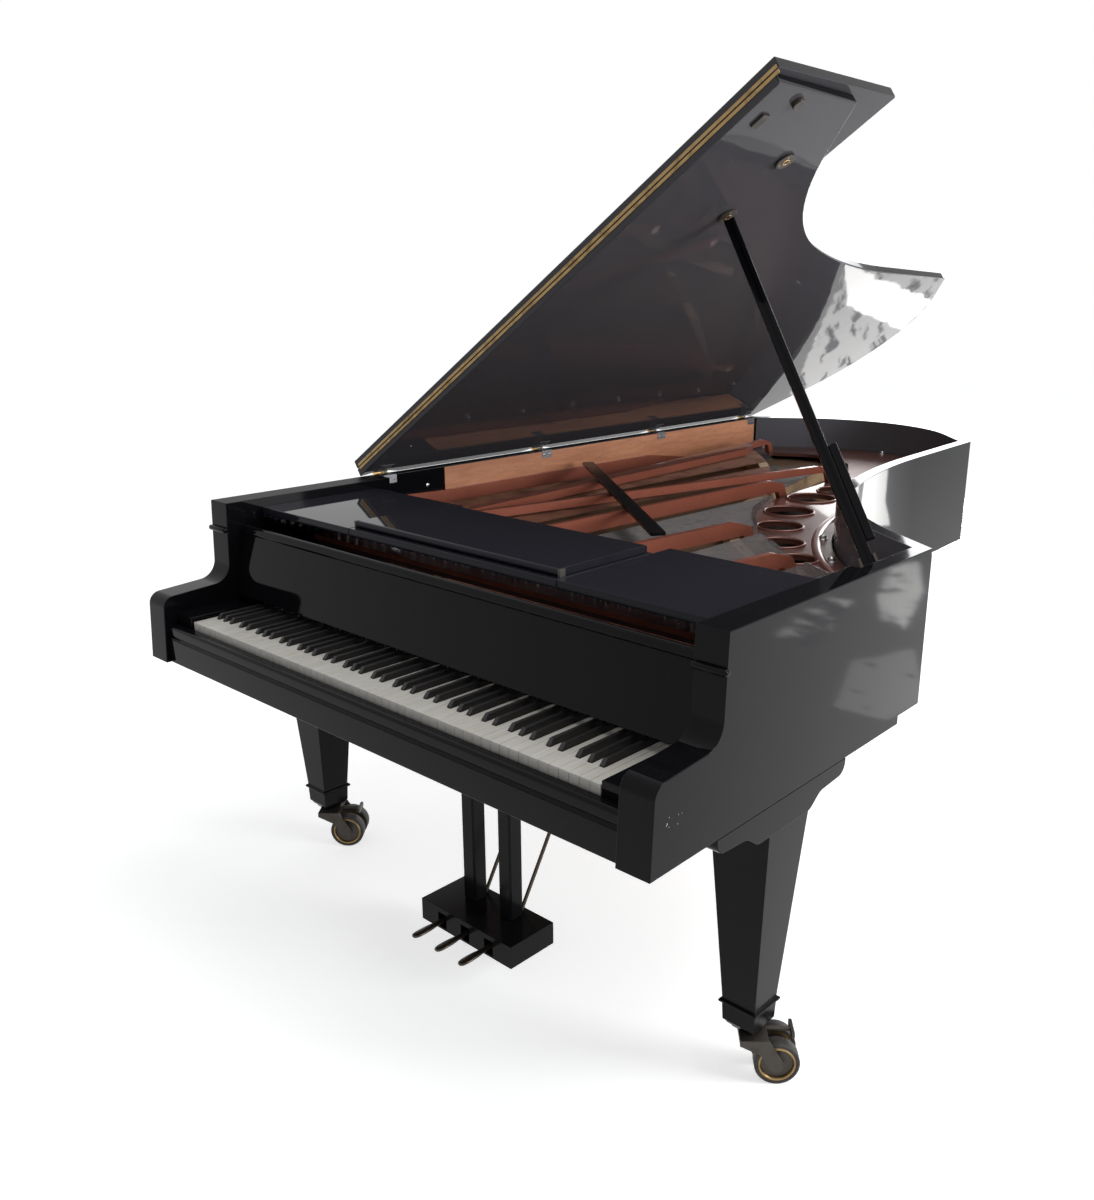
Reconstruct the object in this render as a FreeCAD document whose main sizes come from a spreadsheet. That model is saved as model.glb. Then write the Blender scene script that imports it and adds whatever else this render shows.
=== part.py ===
import FreeCAD, Part
import math
import os
import re
from types import SimpleNamespace

# Concert grand piano with 92 keys, in mm.
# The plan is drawn from the keyboard: x runs to the treble side, y from the
# fronts of the white keys to the tail, z up from the floor. Every sub-part is
# then moved by -x_mid and -y_mid so that the origin lies below the middle.

V = FreeCAD.Vector
doc = FreeCAD.newDocument("grand_piano")
sheet = doc.addObject("Spreadsheet::Sheet", "d")

SIZES = {
    # frame
    "x_mid": -5, "y_mid": 1338.7,
    # case
    "case_half": 772, "rim_t": 37, "rim_top": 988, "rim_bot": 650, "cheek_bot": 632,
    "arm_front": 43, "arm_t": 70, "arm_in": "=case_half - arm_t", "arm_rear": 640,
    "arm_top": 800, "arm_y": 140, "step_y": 787,
    # bent side and tail, a chain of lines and arcs that grows with the case
    "corner_x": "=case_half - 17", "corner_y": 880, "bent_angle": 146.6,
    "bent_line": "=0.1904 * case_half", "bent_r": "=1.0764 * case_half", "bent_turn_angle": 38.5,
    "waist_r": "=2.8886 * case_half", "waist_turn_angle": 14.5, "waist_line": "=0.6036 * case_half",
    "tail_angle": 131.6, "tail_line": "=0.2254 * case_half", "tail_r": "=0.6347 * case_half",
    "tail_turn_angle": 85,
    # keys, whose length places the action, the pin block and the belly rail
    "key_pitch": 23.5, "key_gap": 0.9, "key_top": 738, "key_t": 22, "head_len": 50,
    "key_len": 545, "sharp_h": 12, "sharp_w": 11, "sharp_len": 135, "balance_y": 230,
    "slip_top": 722,
    # inside of the case
    "inner_t": 45, "board_z": 838, "board_t": 8, "belly_y": "=key_len + 155", "belly_t": 45,
    "facing_t": 2, "facing_y": 862, "facing_z": 884,
    "block_front": "=key_len - 150", "block_rear": "=key_len + 43", "block_z": 838,
    # iron plate
    "plate_in": 42, "plate_front": "=block_front - 10", "plate_z": 862, "plate_t": 12,
    "strut_top": 933, "strut_w": 16, "curb_top": 922,
    "string_z": 889, "bass_z": 901, "string_d": 2.4,
    # keybed and action
    "bed_top": 690, "bed_rear": "=belly_y - 10",
    "wippen_y": "=key_len", "wippen_z": 765, "hammer_y": "=key_len - 65", "hammer_z": 790,
    "strike": 145, "hammer_h": 57,
    # fallboard
    "fall_y": 172, "fall_z": 776, "fall_angle": 11, "fall_h": 158, "fall_t": 18,
    # music shelf and desk
    "shelf_z": 948, "shelf_t": 18, "shelf_front": 243, "shelf_rear": 590,
    "desk_mid": -20, "desk_half": 325, "desk_deep": 290, "desk_t": 16,
    # lid
    "lid_gap": 2.5, "lid_over": 11, "lid_t": 22, "flap_t": 22, "lid_y": 599,
    "flap_deep": 440, "lid_angle": 33.4, "hinge_x": "=case_half + 5", "hinge_r": 4, "leaf_t": 2,
    # prop
    "prop_w": 24, "prop_t": 19, "foot_x": "=case_half - 88", "foot_y": 745, "foot_z": 972,
    "cup_x": "=0.5298 * case_half", "cup_y": 881, "cup_t": 6, "half_len": 213,
    # legs and casters
    "leg_x": "=arm_in - 5", "leg_y": 372, "rear_x": "=-0.3886 * case_half",
    "rear_y": "=corner_y + 1.8782 * case_half",
    "leg_top": 570, "leg_top_w": 130, "leg_w": 76, "bead_z": 160, "bead_h": 12,
    "sock_z": 104, "stem_r": 9, "wheel_r": 45, "wheel_w": 30, "wheel_gap": 22,
    "trail": 55, "caster_angle": 41, "axle_r": 5, "fit": 0.05,
    # lyre
    "lyre_x": 25, "lyre_half": 150, "lyre_front": 229, "lyre_rear": 363,
    "lyre_z": 60, "lyre_h": 54, "post_w": 40, "post_x": 60, "post_y": 298,
    "pedal_step": 78, "pedal_w": 22, "pedal_t": 10, "pedal_z": 78,
    "pedal_tip": 142, "pedal_y": 335, "rod_r": 4.5,
    # clearance between pieces that must not rub
    "air": 0.3,
}

for row, (alias, number) in enumerate(SIZES.items(), 1):
    sheet.set("A%d" % row, alias)
    sheet.set("B%d" % row, str(number))
    sheet.setAlias("B%d" % row, alias)
doc.recompute()
s = SimpleNamespace(**{alias: float(sheet.get(alias)) for alias in SIZES})

NODES = {}
WORD = re.compile(r"[a-z_]+")


def bound(text):
    """Turn sheet names in a formula into references to the sheet."""
    return WORD.sub(lambda hit: "d." + hit.group(0), str(text))


def node(obj, label):
    """Give a finished sub-part its name and move it into the shared frame."""
    obj.Label = label
    held = {path.lstrip("."): text for path, text in obj.ExpressionEngine}
    for axis in "xy":
        path = "Placement.Base." + axis
        obj.setExpression(path, "(%s) - %s" % (held.get(path, "0"), bound(axis + "_mid")))
    NODES[label] = obj
    return obj


def turned(obj, label, point, axis, angle):
    """Name a sub-part that is drawn straight and stands turned about a line."""
    obj.Label = label
    obj.Placement = (FreeCAD.Placement(V(-s.x_mid, -s.y_mid, 0), FreeCAD.Rotation())
                     * FreeCAD.Placement(V(0, 0, 0), FreeCAD.Rotation(axis, angle), point))
    NODES[label] = obj
    return obj


# Plain blocks and groups

def block(name, low, high):
    """Return a box between two corners whose entries are sheet formulas."""
    box = doc.addObject("Part::Box", name)
    for side, a, b in zip(("Length", "Width", "Height"), low, high):
        box.setExpression(side, bound("(%s) - (%s)" % (b, a)))
    for axis, a in zip("xyz", low):
        box.setExpression("Placement.Base." + axis, bound(a))
    return box


def group(name, members):
    """Return one object that holds several separate solids."""
    result = doc.addObject("Part::Compound", name)
    result.Links = members
    return result


def solids(name, shapes):
    """Return one object for repeats whose shapes follow from a rule."""
    result = doc.addObject("Part::Feature", name)
    result.Shape = Part.makeCompound(shapes)
    return result


# Outlines

def corner(before, here, after, radius):
    """Return the two tangent points and the middle of a rounded corner."""
    to_a = (before - here).normalize()
    to_b = (after - here).normalize()
    half = to_a.getAngle(to_b) / 2
    reach = radius / math.tan(half)
    middle = (to_a + to_b).normalize()
    return (here + to_a * reach, here + to_b * reach,
            here + middle * (radius / math.sin(half) - radius))


def outline(*points):
    """Return the closed edges through points (x, y) or (x, y, radius)."""
    spots = [V(p[0], p[1], 0) for p in points]
    count = len(points)
    joins = []
    for k, point in enumerate(points):
        radius = point[2] if len(point) > 2 else 0
        if radius:
            joins.append(corner(spots[k - 1], spots[k], spots[(k + 1) % count], radius))
        else:
            joins.append((spots[k], spots[k], None))
    edges = []
    for k, (start, end, middle) in enumerate(joins):
        if middle is not None:
            edges.append(Part.Arc(start, middle, end))
        following = joins[(k + 1) % count][0]
        if end.distanceToPoint(following) > 1e-6:
            edges.append(Part.LineSegment(end, following))
    return edges


def rectangle(x0, y0, x1, y1):
    return outline((x0, y0), (x1, y0), (x1, y1), (x0, y1))


def circle(x, y, radius):
    return [Part.Circle(V(x, y, 0), V(0, 0, 1), radius)]


def chain(start, heading, steps):
    """Return tangent lines and arcs: (length,) is a line, (radius, turn) an arc."""
    edges = []
    here = start
    angle = math.radians(heading)
    for step in steps:
        ahead = V(math.cos(angle), math.sin(angle), 0)
        if len(step) == 1:
            end = here + ahead * step[0]
            edges.append(Part.LineSegment(here, end))
        else:
            radius, turn = step[0], math.radians(step[1])
            side = V(-ahead.y, ahead.x, 0) * math.copysign(radius, turn)
            centre = here + side
            spoke = here - centre
            swing = [FreeCAD.Rotation(V(0, 0, 1), math.degrees(turn) * part) for part in (0.5, 1)]
            middle, end = [centre + r.multVec(spoke) for r in swing]
            edges.append(Part.Arc(here, middle, end))
            angle += turn
        here = end
    return edges, here, math.degrees(angle)


def case_path():
    """Return the outer face of the rim in plan, from the treble arm round to the bass arm."""
    treble = V(s.case_half, -s.arm_front, 0)
    sharp = V(s.corner_x, s.corner_y, 0)
    bent, waist, _ = chain(sharp, s.bent_angle, [
        (s.bent_line,), (s.bent_r, -s.bent_turn_angle), (s.waist_r, -s.waist_turn_angle), (s.waist_line,)])
    tail, end, heading = chain(waist, s.tail_angle, [(s.tail_line,), (s.tail_r, s.tail_turn_angle)])
    slope = math.tan(math.radians(heading))
    spine = V(-s.case_half, end.y + slope * (-s.case_half - end.x), 0)
    bass = V(-s.case_half, -s.arm_front, 0)
    return ([Part.LineSegment(treble, sharp)] + bent + tail
            + [Part.LineSegment(end, spine), Part.LineSegment(spine, bass)])


def plan(inset, front):
    """Return the face inside the case, inset from its outer side, behind y = front."""
    edges = [g.toShape() for g in case_path()]
    ahead = s.arm_front + 500
    run = [(-s.case_half, -s.arm_front), (-s.case_half, -ahead), (s.case_half, -ahead),
           (s.case_half, -s.arm_front)]
    for a, b in zip(run, run[1:]):
        edges.append(Part.LineSegment(V(*a), V(*b)).toShape())
    wire = Part.Wire(Part.__sortEdges__(edges))
    if inset:
        wire = wire.makeOffset2D(-inset, 2)
    face = Part.Face(wire)
    reach = 6 * s.case_half
    room = Part.makePlane(reach, reach, V(-reach / 2, front, 0))
    return face.common(room).Faces[0]


def drawn(wire):
    """Return the edges of a wire as sketch geometry."""
    result = []
    for edge in wire.OrderedEdges:
        a, b = edge.firstVertex(True).Point, edge.lastVertex(True).Point
        if isinstance(edge.Curve, Part.Circle):
            middle = edge.valueAt((edge.FirstParameter + edge.LastParameter) / 2)
            result.append(Part.Arc(a, middle, b))
        else:
            result.append(Part.LineSegment(a, b))
    return result


def loops(face):
    """Return all loops of a face as sketch geometry."""
    return [g for wire in face.Wires for g in drawn(wire)]


DRAWN_HALF = 772
GROWN = s.case_half / DRAWN_HALF


def grown(x, y, *radius):
    """Return a point of the rear plan, which is drawn for one case width, grown with the case."""
    return (x * GROWN, s.corner_y + (y - 880) * GROWN) + radius


# Bodies made from sketches

def sketch_on(body, name, role, edges, start=0, offset=None):
    """Draw edges on one of the body's own origin planes, moved along its normal."""
    plane = [f for f in body.Origin.OriginFeatures if f.Role == role][0]
    sketch = body.newObject("Sketcher::SketchObject", name)
    sketch.AttachmentSupport = [(plane, "")]
    sketch.MapMode = "FlatFace"
    if offset is not None:
        sketch.AttachmentOffset = offset
    else:
        sketch.setExpression("AttachmentOffset.Base.z", bound(start))
    sketch.addGeometry(edges, False)
    return sketch


def new_body(name):
    return doc.addObject("PartDesign::Body", name)


def pad(body, name, role, edges, start, length, middle=False, offset=None):
    """Add a straight extrusion."""
    sketch = sketch_on(body, name + "_sketch", role, edges, start, offset)
    feature = body.newObject("PartDesign::Pad", name)
    feature.Profile = sketch
    feature.setExpression("Length", bound(length))
    if middle:
        feature.SideType = "Symmetric"
    doc.recompute()
    return feature


def pocket(body, name, role, edges, start, depth, flip=False, through=False):
    """Cut along the plane's normal, or both ways through everything."""
    sketch = sketch_on(body, name + "_sketch", role, edges, start)
    before = body.Shape.Volume
    feature = body.newObject("PartDesign::Pocket", name)
    feature.Profile = sketch
    if through:
        feature.SideType = "Symmetric"
        feature.setExpression("Length", bound(depth))
    else:
        feature.setExpression("Length", bound(depth))
        feature.Reversed = flip
    doc.recompute()
    if not body.Shape.Volume < before - 1:
        raise RuntimeError(name + " cuts nothing")
    return feature


def loft(body, name, sections):
    """Add a loft through sketches, each given as edges and a height formula."""
    sketches = [sketch_on(body, "%s_%d" % (name, k), "XY_Plane", edges, z)
                for k, (edges, z) in enumerate(sections)]
    feature = body.newObject("PartDesign::AdditiveLoft", name)
    feature.Profile = sketches[0]
    feature.Sections = sketches[1:]
    feature.Ruled = True
    doc.recompute()
    return feature


# Rim with arms, the bent side drawn as one chain of lines and arcs

rim = new_body("rim")
pad(rim, "rim_wall", "XY_Plane", loops(plan(0, -s.arm_front).cut(plan(s.rim_t, -s.arm_front - 50)).Faces[0]),
    "cheek_bot", "rim_top - cheek_bot")
for side in (-1, 1):
    near, far = sorted((side * s.arm_in, side * (s.case_half - s.rim_t + 1)))
    arm = rectangle(near, -s.arm_front, far, s.arm_rear)
    pad(rim, "arm_%d" % (side + 1), "XY_Plane", arm, "cheek_bot", "rim_top - cheek_bot")
pocket(rim, "arm_sweep", "YZ_Plane", outline(
    (-120, s.rim_top + 60), (-120, s.cheek_bot - 40), (-s.arm_front - 2, s.cheek_bot - 40),
    (-s.arm_front + 9, s.arm_top - 11, 28), (s.arm_y, s.arm_top, 45),
    (s.arm_y + 10, s.rim_top + 60)), "0", "case_half * 2 + 100", through=True)
beyond = s.case_half + 100
pocket(rim, "bottom_step", "XY_Plane", rectangle(-beyond, s.step_y, beyond, s.step_y + 4 * s.case_half),
       "cheek_bot", "rim_bot - cheek_bot", flip=True)
pocket(rim, "fallboard_bores", "YZ_Plane", circle(s.fall_y, s.fall_z, 6 + s.fit),
       "0", "(arm_in + 20) * 2", through=True)
node(rim, "case_rim")

inside = plan(s.rim_t, 0)
spine_end = max(v.Y for v in inside.Vertexes if v.X < -s.case_half + s.rim_t + 1)
node(block("facing", ("-case_half + rim_t", "facing_y", "facing_z"),
           ("-case_half + rim_t + facing_t", "%g" % (spine_end - 20), "rim_top - 2")), "spine_facing")

inner = new_body("inner")
lining = plan(s.rim_t, s.belly_y + s.belly_t).cut(plan(s.rim_t + s.inner_t, 0)).Faces[0]
pad(inner, "inner_wall", "XY_Plane", loops(lining), "rim_bot", "board_z - rim_bot")
node(inner, "inner_rim")

node(block("belly", ("-case_half + rim_t", "belly_y", "rim_bot"),
           ("corner_x - rim_t", "belly_y + belly_t", "board_z")), "belly_rail")

board = new_body("board")
pad(board, "board_panel", "XY_Plane", loops(plan(s.rim_t + s.air, s.belly_y + 2)),
    "board_z", "board_t")
node(board, "soundboard")


def strip(x, y, heading, length, width):
    """Return a long narrow face that starts at a point and runs along a heading."""
    face = Part.makePlane(length, width, V(0, -width / 2, 0))
    face.Placement = FreeCAD.Placement(V(x, y, 0), FreeCAD.Rotation(V(0, 0, 1), heading))
    return face


room = plan(s.rim_t + s.inner_t, s.belly_y + s.belly_t)
ribs = []
for k in range(10):
    cut = strip(*grown(-1200, 1000 + 165 * k), -28, 4 * s.case_half, 24).common(room)
    ribs += [f.extrude(V(0, 0, -20)) for f in cut.Faces]
rib_set = solids("ribs", ribs)
for_ribs = FreeCAD.Placement(V(-s.x_mid, -s.y_mid, s.board_z), FreeCAD.Rotation())
rib_set.Placement = for_ribs
rib_set.Label = "soundboard_ribs"
NODES["soundboard_ribs"] = rib_set

braces = []
heading = math.degrees(math.atan2(s.rear_y - s.belly_y, s.rear_x + 120 * GROWN))
for start, lean in ((-120, heading), (-520, 92), (240, 96), (500, 90)):
    beam = strip(start * GROWN, s.belly_y, lean, 4 * s.case_half, 70).common(room)
    braces.append(beam.Faces[0].extrude(V(0, 0, 85)))
brace_set = solids("braces", braces)
brace_set.Placement = FreeCAD.Placement(V(-s.x_mid, -s.y_mid, s.rim_bot + 5), FreeCAD.Rotation())
brace_set.Label = "rim_braces"
NODES["rim_braces"] = brace_set


def bridge(label, arcs, width, top):
    """Pad a band of one width along arcs drawn through three points each."""
    edges = [Part.Arc(*[V(x, y, 0) for x, y in arc]).toShape() for arc in arcs]
    band = Part.Wire(edges).makeOffset2D(width / 2, 0, True, False)
    body = new_body(label + "_body")
    pad(body, label + "_band", "XY_Plane", loops(Part.Face(band.Wires[0])),
        "board_z + board_t", "%s - board_z - board_t" % top)
    return node(body, label)


def lean_at(x):
    """Return how far the strings and struts at x drift sideways for each mm along y."""
    return 0.05 - 0.00006 * (x + 275)


TREBLE_BRIDGE = [[grown(*spot) for spot in arc] for arc in (
    ((645, 722), (230, 968), (-20, 1290)), ((-20, 1290), (-130, 1640), (-232, 2150)))]
BASS_BRIDGE = [[grown(-625, 2240), grown(-455, 2075), grown(-240, 1790)]]


def on_arcs(arcs, x, lean):
    """Return y where a line from (x, block_rear) leaning by lean crosses the arcs."""
    far = 3 * s.case_half
    low = V(x, s.block_rear, 0)
    high = V(x + lean * far, s.block_rear + far, 0)
    ray = Part.LineSegment(low, high).toShape()
    for arc in arcs:
        curve = Part.Arc(*[V(a, b, 0) for a, b in arc]).toShape()
        gap, pairs, _ = ray.distToShape(curve)
        if gap < 1e-4:
            return pairs[0][0].y
    return None


bridge("treble_bridge", TREBLE_BRIDGE, 30, "string_z")
bridge("bass_bridge", BASS_BRIDGE, 34, "bass_z")

node(block("plank", ("-arm_in + 4", "block_front", "block_z"),
           ("arm_in - 4", "block_rear", "plate_z")), "pin_block")

# Iron plate: a flange round the case, struts over the strings and a row of round holes

plate = new_body("plate")
pad(plate, "plate_flange", "XY_Plane", loops(plan(s.plate_in, s.belly_y)), "plate_z", "plate_t")
pad(plate, "plate_web", "XY_Plane", rectangle(-s.arm_in + 4, s.plate_front, s.arm_in - 4, s.belly_y + 1),
    "plate_z", "plate_t")
pocket(plate, "string_opening", "XY_Plane", outline(
    (-s.arm_in + 34, s.block_rear + 2, 12), (s.arm_in - 34, s.block_rear + 2, 12),
    (s.arm_in - 42, s.corner_y - 110, 30), grown(480, 850, 90), grown(305, 952, 200),
    grown(185, 1060, 250), grown(65, 1225, 300), grown(-38, 1425, 300), grown(-95, 1650, 400),
    grown(-110, 1900, 500), grown(-140, 2150, 200), grown(-260, 2360, 160), grown(-450, 2460, 120),
    (-s.arm_in + 34, spine_end - 129, 60)),
    "plate_z + plate_t", "plate_t + 1")
HOLES = [grown(*spot) for spot in (
    (-3, 1848, 66), (-4, 1683, 70), (52, 1468, 68), (139, 1284, 60), (249, 1121, 54), (368, 1002, 47))]
pocket(plate, "round_holes", "XY_Plane", [g for x, y, r in HOLES for g in circle(x, y, r)],
       "plate_z + plate_t", "plate_t + 1")


def strut(name, x, y0, y1, lean, low, top):
    """Add one strut: a web that rises from the front, runs level and curves down behind."""
    base = s.plate_z + 2
    edges = outline((-28, base), (-6, base), (5, low, 6), (y1 - y0 - 24, low, 10),
                    (y1 - y0 - 8, base), (y1 - y0 + 26, base), (y1 - y0 + 4, top - 18, 22),
                    (y1 - y0 - 60, top, 60), (30, top, 60), (-10, top - 22, 22))
    turn = FreeCAD.Rotation(V(0, 1, 0), lean)
    pad(plate, name, "YZ_Plane", edges, "0", "strut_w", middle=True,
        offset=FreeCAD.Placement(V(y0, 0, x), turn))


BASS_OVER, TREBLE_OVER = s.bass_z + 9, s.string_z + 6
STRUTS = ((-426, 2370, 5.6, BASS_OVER), (-414, 2000, -12.5, BASS_OVER), (-150, 1640, -3.6, TREBLE_OVER),
          (122, 1082, -6.1, TREBLE_OVER), (388, 880, -6.6, TREBLE_OVER))
for k, (x, end, lean, low) in enumerate(STRUTS):
    x, end = grown(x, end)
    strut("strut_%d" % (k + 1), x, s.block_rear, end, lean, low, s.strut_top)
pad(plate, "strut_1_top", "XY_Plane", outline(
    (-434 * GROWN, s.block_rear + 60), (-418 * GROWN, s.block_rear + 60), grown(-500, 2060, 30),
    grown(-588, 2290, 20)), "bass_z + 9", "strut_top - bass_z - 9")
curb_x = -s.case_half + s.plate_in + 1
curb_end = s.corner_y + 1290 * GROWN
pad(plate, "spine_curb", "YZ_Plane", outline(
    (s.arm_rear + 6, s.plate_z + 2), (s.arm_rear + 30, s.curb_top + 8, 30), (s.corner_y, s.curb_top),
    (curb_end - 380, s.curb_top - 4, 300), (curb_end, s.plate_z + 2)), "%g" % curb_x, "10")
rest_end, rest_part = 658 * GROWN, -285 * GROWN
pad(plate, "capo", "XY_Plane", rectangle(rest_part + 3, s.block_rear - 12, rest_end, s.block_rear),
    "plate_z + plate_t - 1", "string_z - plate_z - plate_t + 1")
pad(plate, "bass_rest", "XY_Plane", rectangle(-rest_end, s.block_rear - 12, rest_part - 3, s.block_rear),
    "plate_z + plate_t - 1", "bass_z - plate_z - plate_t + 1")
node(plate, "iron_plate")



def hexagon(x, y, z, radius, height):
    """Return a six-sided upright prism."""
    turns = [math.radians(60 * k) for k in range(6)]
    ring = [V(x + radius * math.cos(a), y + radius * math.sin(a), z) for a in turns]
    return Part.Face(Part.makePolygon(ring + ring[:1])).extrude(V(0, 0, height))


bolt_line = plan(s.plate_in + 22, s.corner_y - 10).OuterWire
bolt_heads = []
for spot in bolt_line.discretize(Distance=235):
    if spot.y < s.corner_y + 30:
        continue
    rest = s.board_z + s.board_t
    bolt_heads.append(hexagon(spot.x, spot.y, s.plate_z + s.plate_t, 10, 7))
    bolt_heads.append(hexagon(spot.x, spot.y, rest, 10, s.plate_z - rest))
node(solids("bolts", bolt_heads), "plate_bolts")

bar = new_body("bar")
bar_from, bar_to = [V(*grown(*spot)) for spot in ((-680, 1420), (128, 774))]
bar_len = (bar_to - bar_from).Length
bar_angle = math.degrees(math.atan2(bar_to.y - bar_from.y, bar_to.x - bar_from.x))
pad(bar, "bar_strip", "XY_Plane", outline(
    (0, -19, 12), (bar_len, -19, 3), (bar_len, 19, 3), (0, 19, 12)),
    "strut_top", "9", offset=FreeCAD.Placement(V(bar_from.x, bar_from.y, s.strut_top),
                                               FreeCAD.Rotation(V(0, 0, 1), bar_angle)))
node(bar, "cross_bar")

# Keyboard: 54 white and 38 black keys from F to C

WHITE = 54
NAMES = "FGABCDE"
LEAN = {"F": -3.5, "G": 0, "A": 3.5, "C": -2.5, "D": 2.5}
LEFT = -WHITE * s.key_pitch / 2
MIDDLE_C = 25


def sharp_at(k):
    """Return the middle of the black key right of white key k, or None."""
    name = NAMES[k % 7]
    if name not in LEAN or k == WHITE - 1:
        return None
    return LEFT + (k + 1) * s.key_pitch + LEAN[name]


def white_key(k):
    """Return a white key: a wide head, cut narrower beside the black keys."""
    x0 = LEFT + k * s.key_pitch + s.key_gap / 2
    x1 = x0 + s.key_pitch - s.key_gap
    cut = s.sharp_w / 2 + 1
    left = sharp_at(k - 1) if k else None
    right = sharp_at(k)
    a = x0 if left is None else left + cut
    b = x1 if right is None else right - cut
    points = [(x0, 0), (x1, 0), (x1, s.head_len), (b, s.head_len), (b, s.key_len),
              (a, s.key_len), (a, s.head_len), (x0, s.head_len)]
    corners = [V(x, y, s.key_top - s.key_t) for n, (x, y) in enumerate(points)
               if (x, y) != points[n - 1]]
    return Part.Face(Part.makePolygon(corners + corners[:1])).extrude(V(0, 0, s.key_t))


def bar_of(points, x, width):
    """Return a bar with an outline in y and z, centred on x."""
    corners = [V(x - width / 2, y, z) for y, z in points]
    return Part.Face(Part.makePolygon(corners + corners[:1])).extrude(V(width, 0, 0))


def black_key(k):
    top = s.key_top + s.sharp_h
    low = s.key_top - s.key_t
    end = s.head_len + 1.5
    back = s.head_len + s.sharp_len
    return bar_of([(end, low), (end, s.key_top + 2), (end + 9, top), (back, top),
                   (back, s.key_top), (s.key_len, s.key_top), (s.key_len, low)],
                  sharp_at(k), s.sharp_w)


def wippen(x):
    y, z = s.wippen_y, s.wippen_z
    return bar_of([(y - 118, z - 9), (y - 110, s.key_top + 0.8), (y - 106, s.key_top + 0.8),
                   (y - 100, z - 11), (y + 5, z - 11), (y + 5, z + 2), (y - 118, z - 2)], x, 8)


def hammer(x):
    y, z = s.hammer_y, s.hammer_z
    return bar_of([(y + 1, z + 3), (y, z - 3), (y + s.strike + 6, z - 3), (y + s.strike + 13, z + 30),
                   (y + s.strike, z + s.hammer_h), (y + s.strike - 13, z + 30),
                   (y + s.strike - 6, z + 3)], x, 9)


whites = [k for k in range(WHITE) if k != MIDDLE_C]
sharps = [k for k in range(WHITE) if sharp_at(k) is not None]


def tail_x(k):
    """Return the middle of a white key's narrow tail."""
    box = white_key(k).BoundBox
    left = sharp_at(k - 1) if k else None
    right = sharp_at(k)
    a = box.XMin if left is None else left + s.sharp_w / 2 + 1
    b = box.XMax if right is None else right - s.sharp_w / 2 - 1
    return (a + b) / 2


node(solids("naturals", [white_key(k) for k in whites]), "white_keys")
node(solids("accidentals", [black_key(k) for k in sharps]), "black_keys")
node(solids("c_key", [white_key(MIDDLE_C)]), "middle_c_key")
node(solids("natural_wippens", [wippen(tail_x(k)) for k in whites]), "white_key_wippens")
node(solids("accidental_wippens", [wippen(sharp_at(k)) for k in sharps]), "black_key_wippens")
node(solids("c_wippen", [wippen(tail_x(MIDDLE_C))]), "middle_c_wippen")
node(solids("natural_hammers", [hammer(tail_x(k)) for k in whites]), "white_key_hammers")
node(solids("accidental_hammers", [hammer(sharp_at(k)) for k in sharps]), "black_key_hammers")
node(solids("c_hammer", [hammer(tail_x(MIDDLE_C))]), "middle_c_hammer")

node(block("bed", ("-arm_in", "-arm_front + 12", "cheek_bot"), ("arm_in", "bed_rear", "bed_top")),
     "keybed")
slip = new_body("slip")
pad(slip, "slip_strip", "YZ_Plane", outline(
    (-s.arm_front + 12, s.bed_top), (-4, s.bed_top), (-4, s.slip_top, 3),
    (-s.arm_front + 14, s.slip_top, 8), (-s.arm_front + 14, s.bed_top + 9),
    (-s.arm_front + 17, s.bed_top + 6), (-s.arm_front + 12, s.bed_top + 3)),
    "-arm_in", "arm_in * 2")
node(slip, "key_slip")
cheek_blocks = []
for side in (-1, 1):
    body = new_body("key_block_%d" % (side + 1))
    edge = 4 - LEFT
    x0, x1 = sorted((side * edge, side * s.arm_in))
    pad(body, "key_block_pad_%d" % (side + 1), "XY_Plane",
        outline((x0, -3), (x1, -3), (x1, 148), (x0, 148)), "bed_top", "key_top - bed_top + 10")
    cheek_blocks.append(body)
node(group("cheek_block_pair", cheek_blocks), "key_blocks")

key_rails = [block("rail_%d" % k, ("-27 * key_pitch", a, "bed_top"), ("27 * key_pitch", b, c))
             for k, (a, b, c) in enumerate((
                 ("18", "58", "bed_top + 13"),
                 ("balance_y - 12", "balance_y + 12", "key_top - key_t - 0.8"),
                 ("key_len - 75", "key_len - 9", "key_top - key_t - 0.8")))]
stiles = [block("stile_%d" % k, ("%g * key_pitch - 20" % share, "58", "bed_top"),
                ("%g * key_pitch + 20" % share, "key_len - 75", "bed_top + 10"))
          for k, share in enumerate((-25, -12.5, 0, 12.5, 25))]
frame_solid = doc.addObject("Part::MultiFuse", "frame_solid")
frame_solid.Shapes = key_rails + stiles
node(frame_solid, "keyframe")

action_end = "27 * key_pitch + 20"
rails = [block("hammer_rail", ("-(%s)" % action_end, "hammer_y - 14", "hammer_z - 10"),
               (action_end, "hammer_y - 0.5", "hammer_z + 8")),
         block("wippen_rail", ("-(%s)" % action_end, "wippen_y + 6", "wippen_z - 12"),
               (action_end, "wippen_y + 20", "wippen_z + 6"))]
stands = [block("stand_%d" % k, (x, "hammer_y - 20", "bed_top"),
                (x + " + 9", "wippen_y + 24", "hammer_z + 12"))
          for k, x in enumerate(("-27 * key_pitch - 20", "27 * key_pitch + 11"))]
action = doc.addObject("Part::MultiFuse", "action")
action.Shapes = rails + stands
node(action, "action_frame")

# Strings, tuning pins and dampers, one course for each note

SECTIONS = ((17, -654, -452, True), (9, -379, -292, True), (8, -264, -176, False),
            (19, -108, 100, False), (19, 178, 366, False), (20, 434, 644, False))
plain, wound, pins, dampers = [], [], [], []


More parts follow.
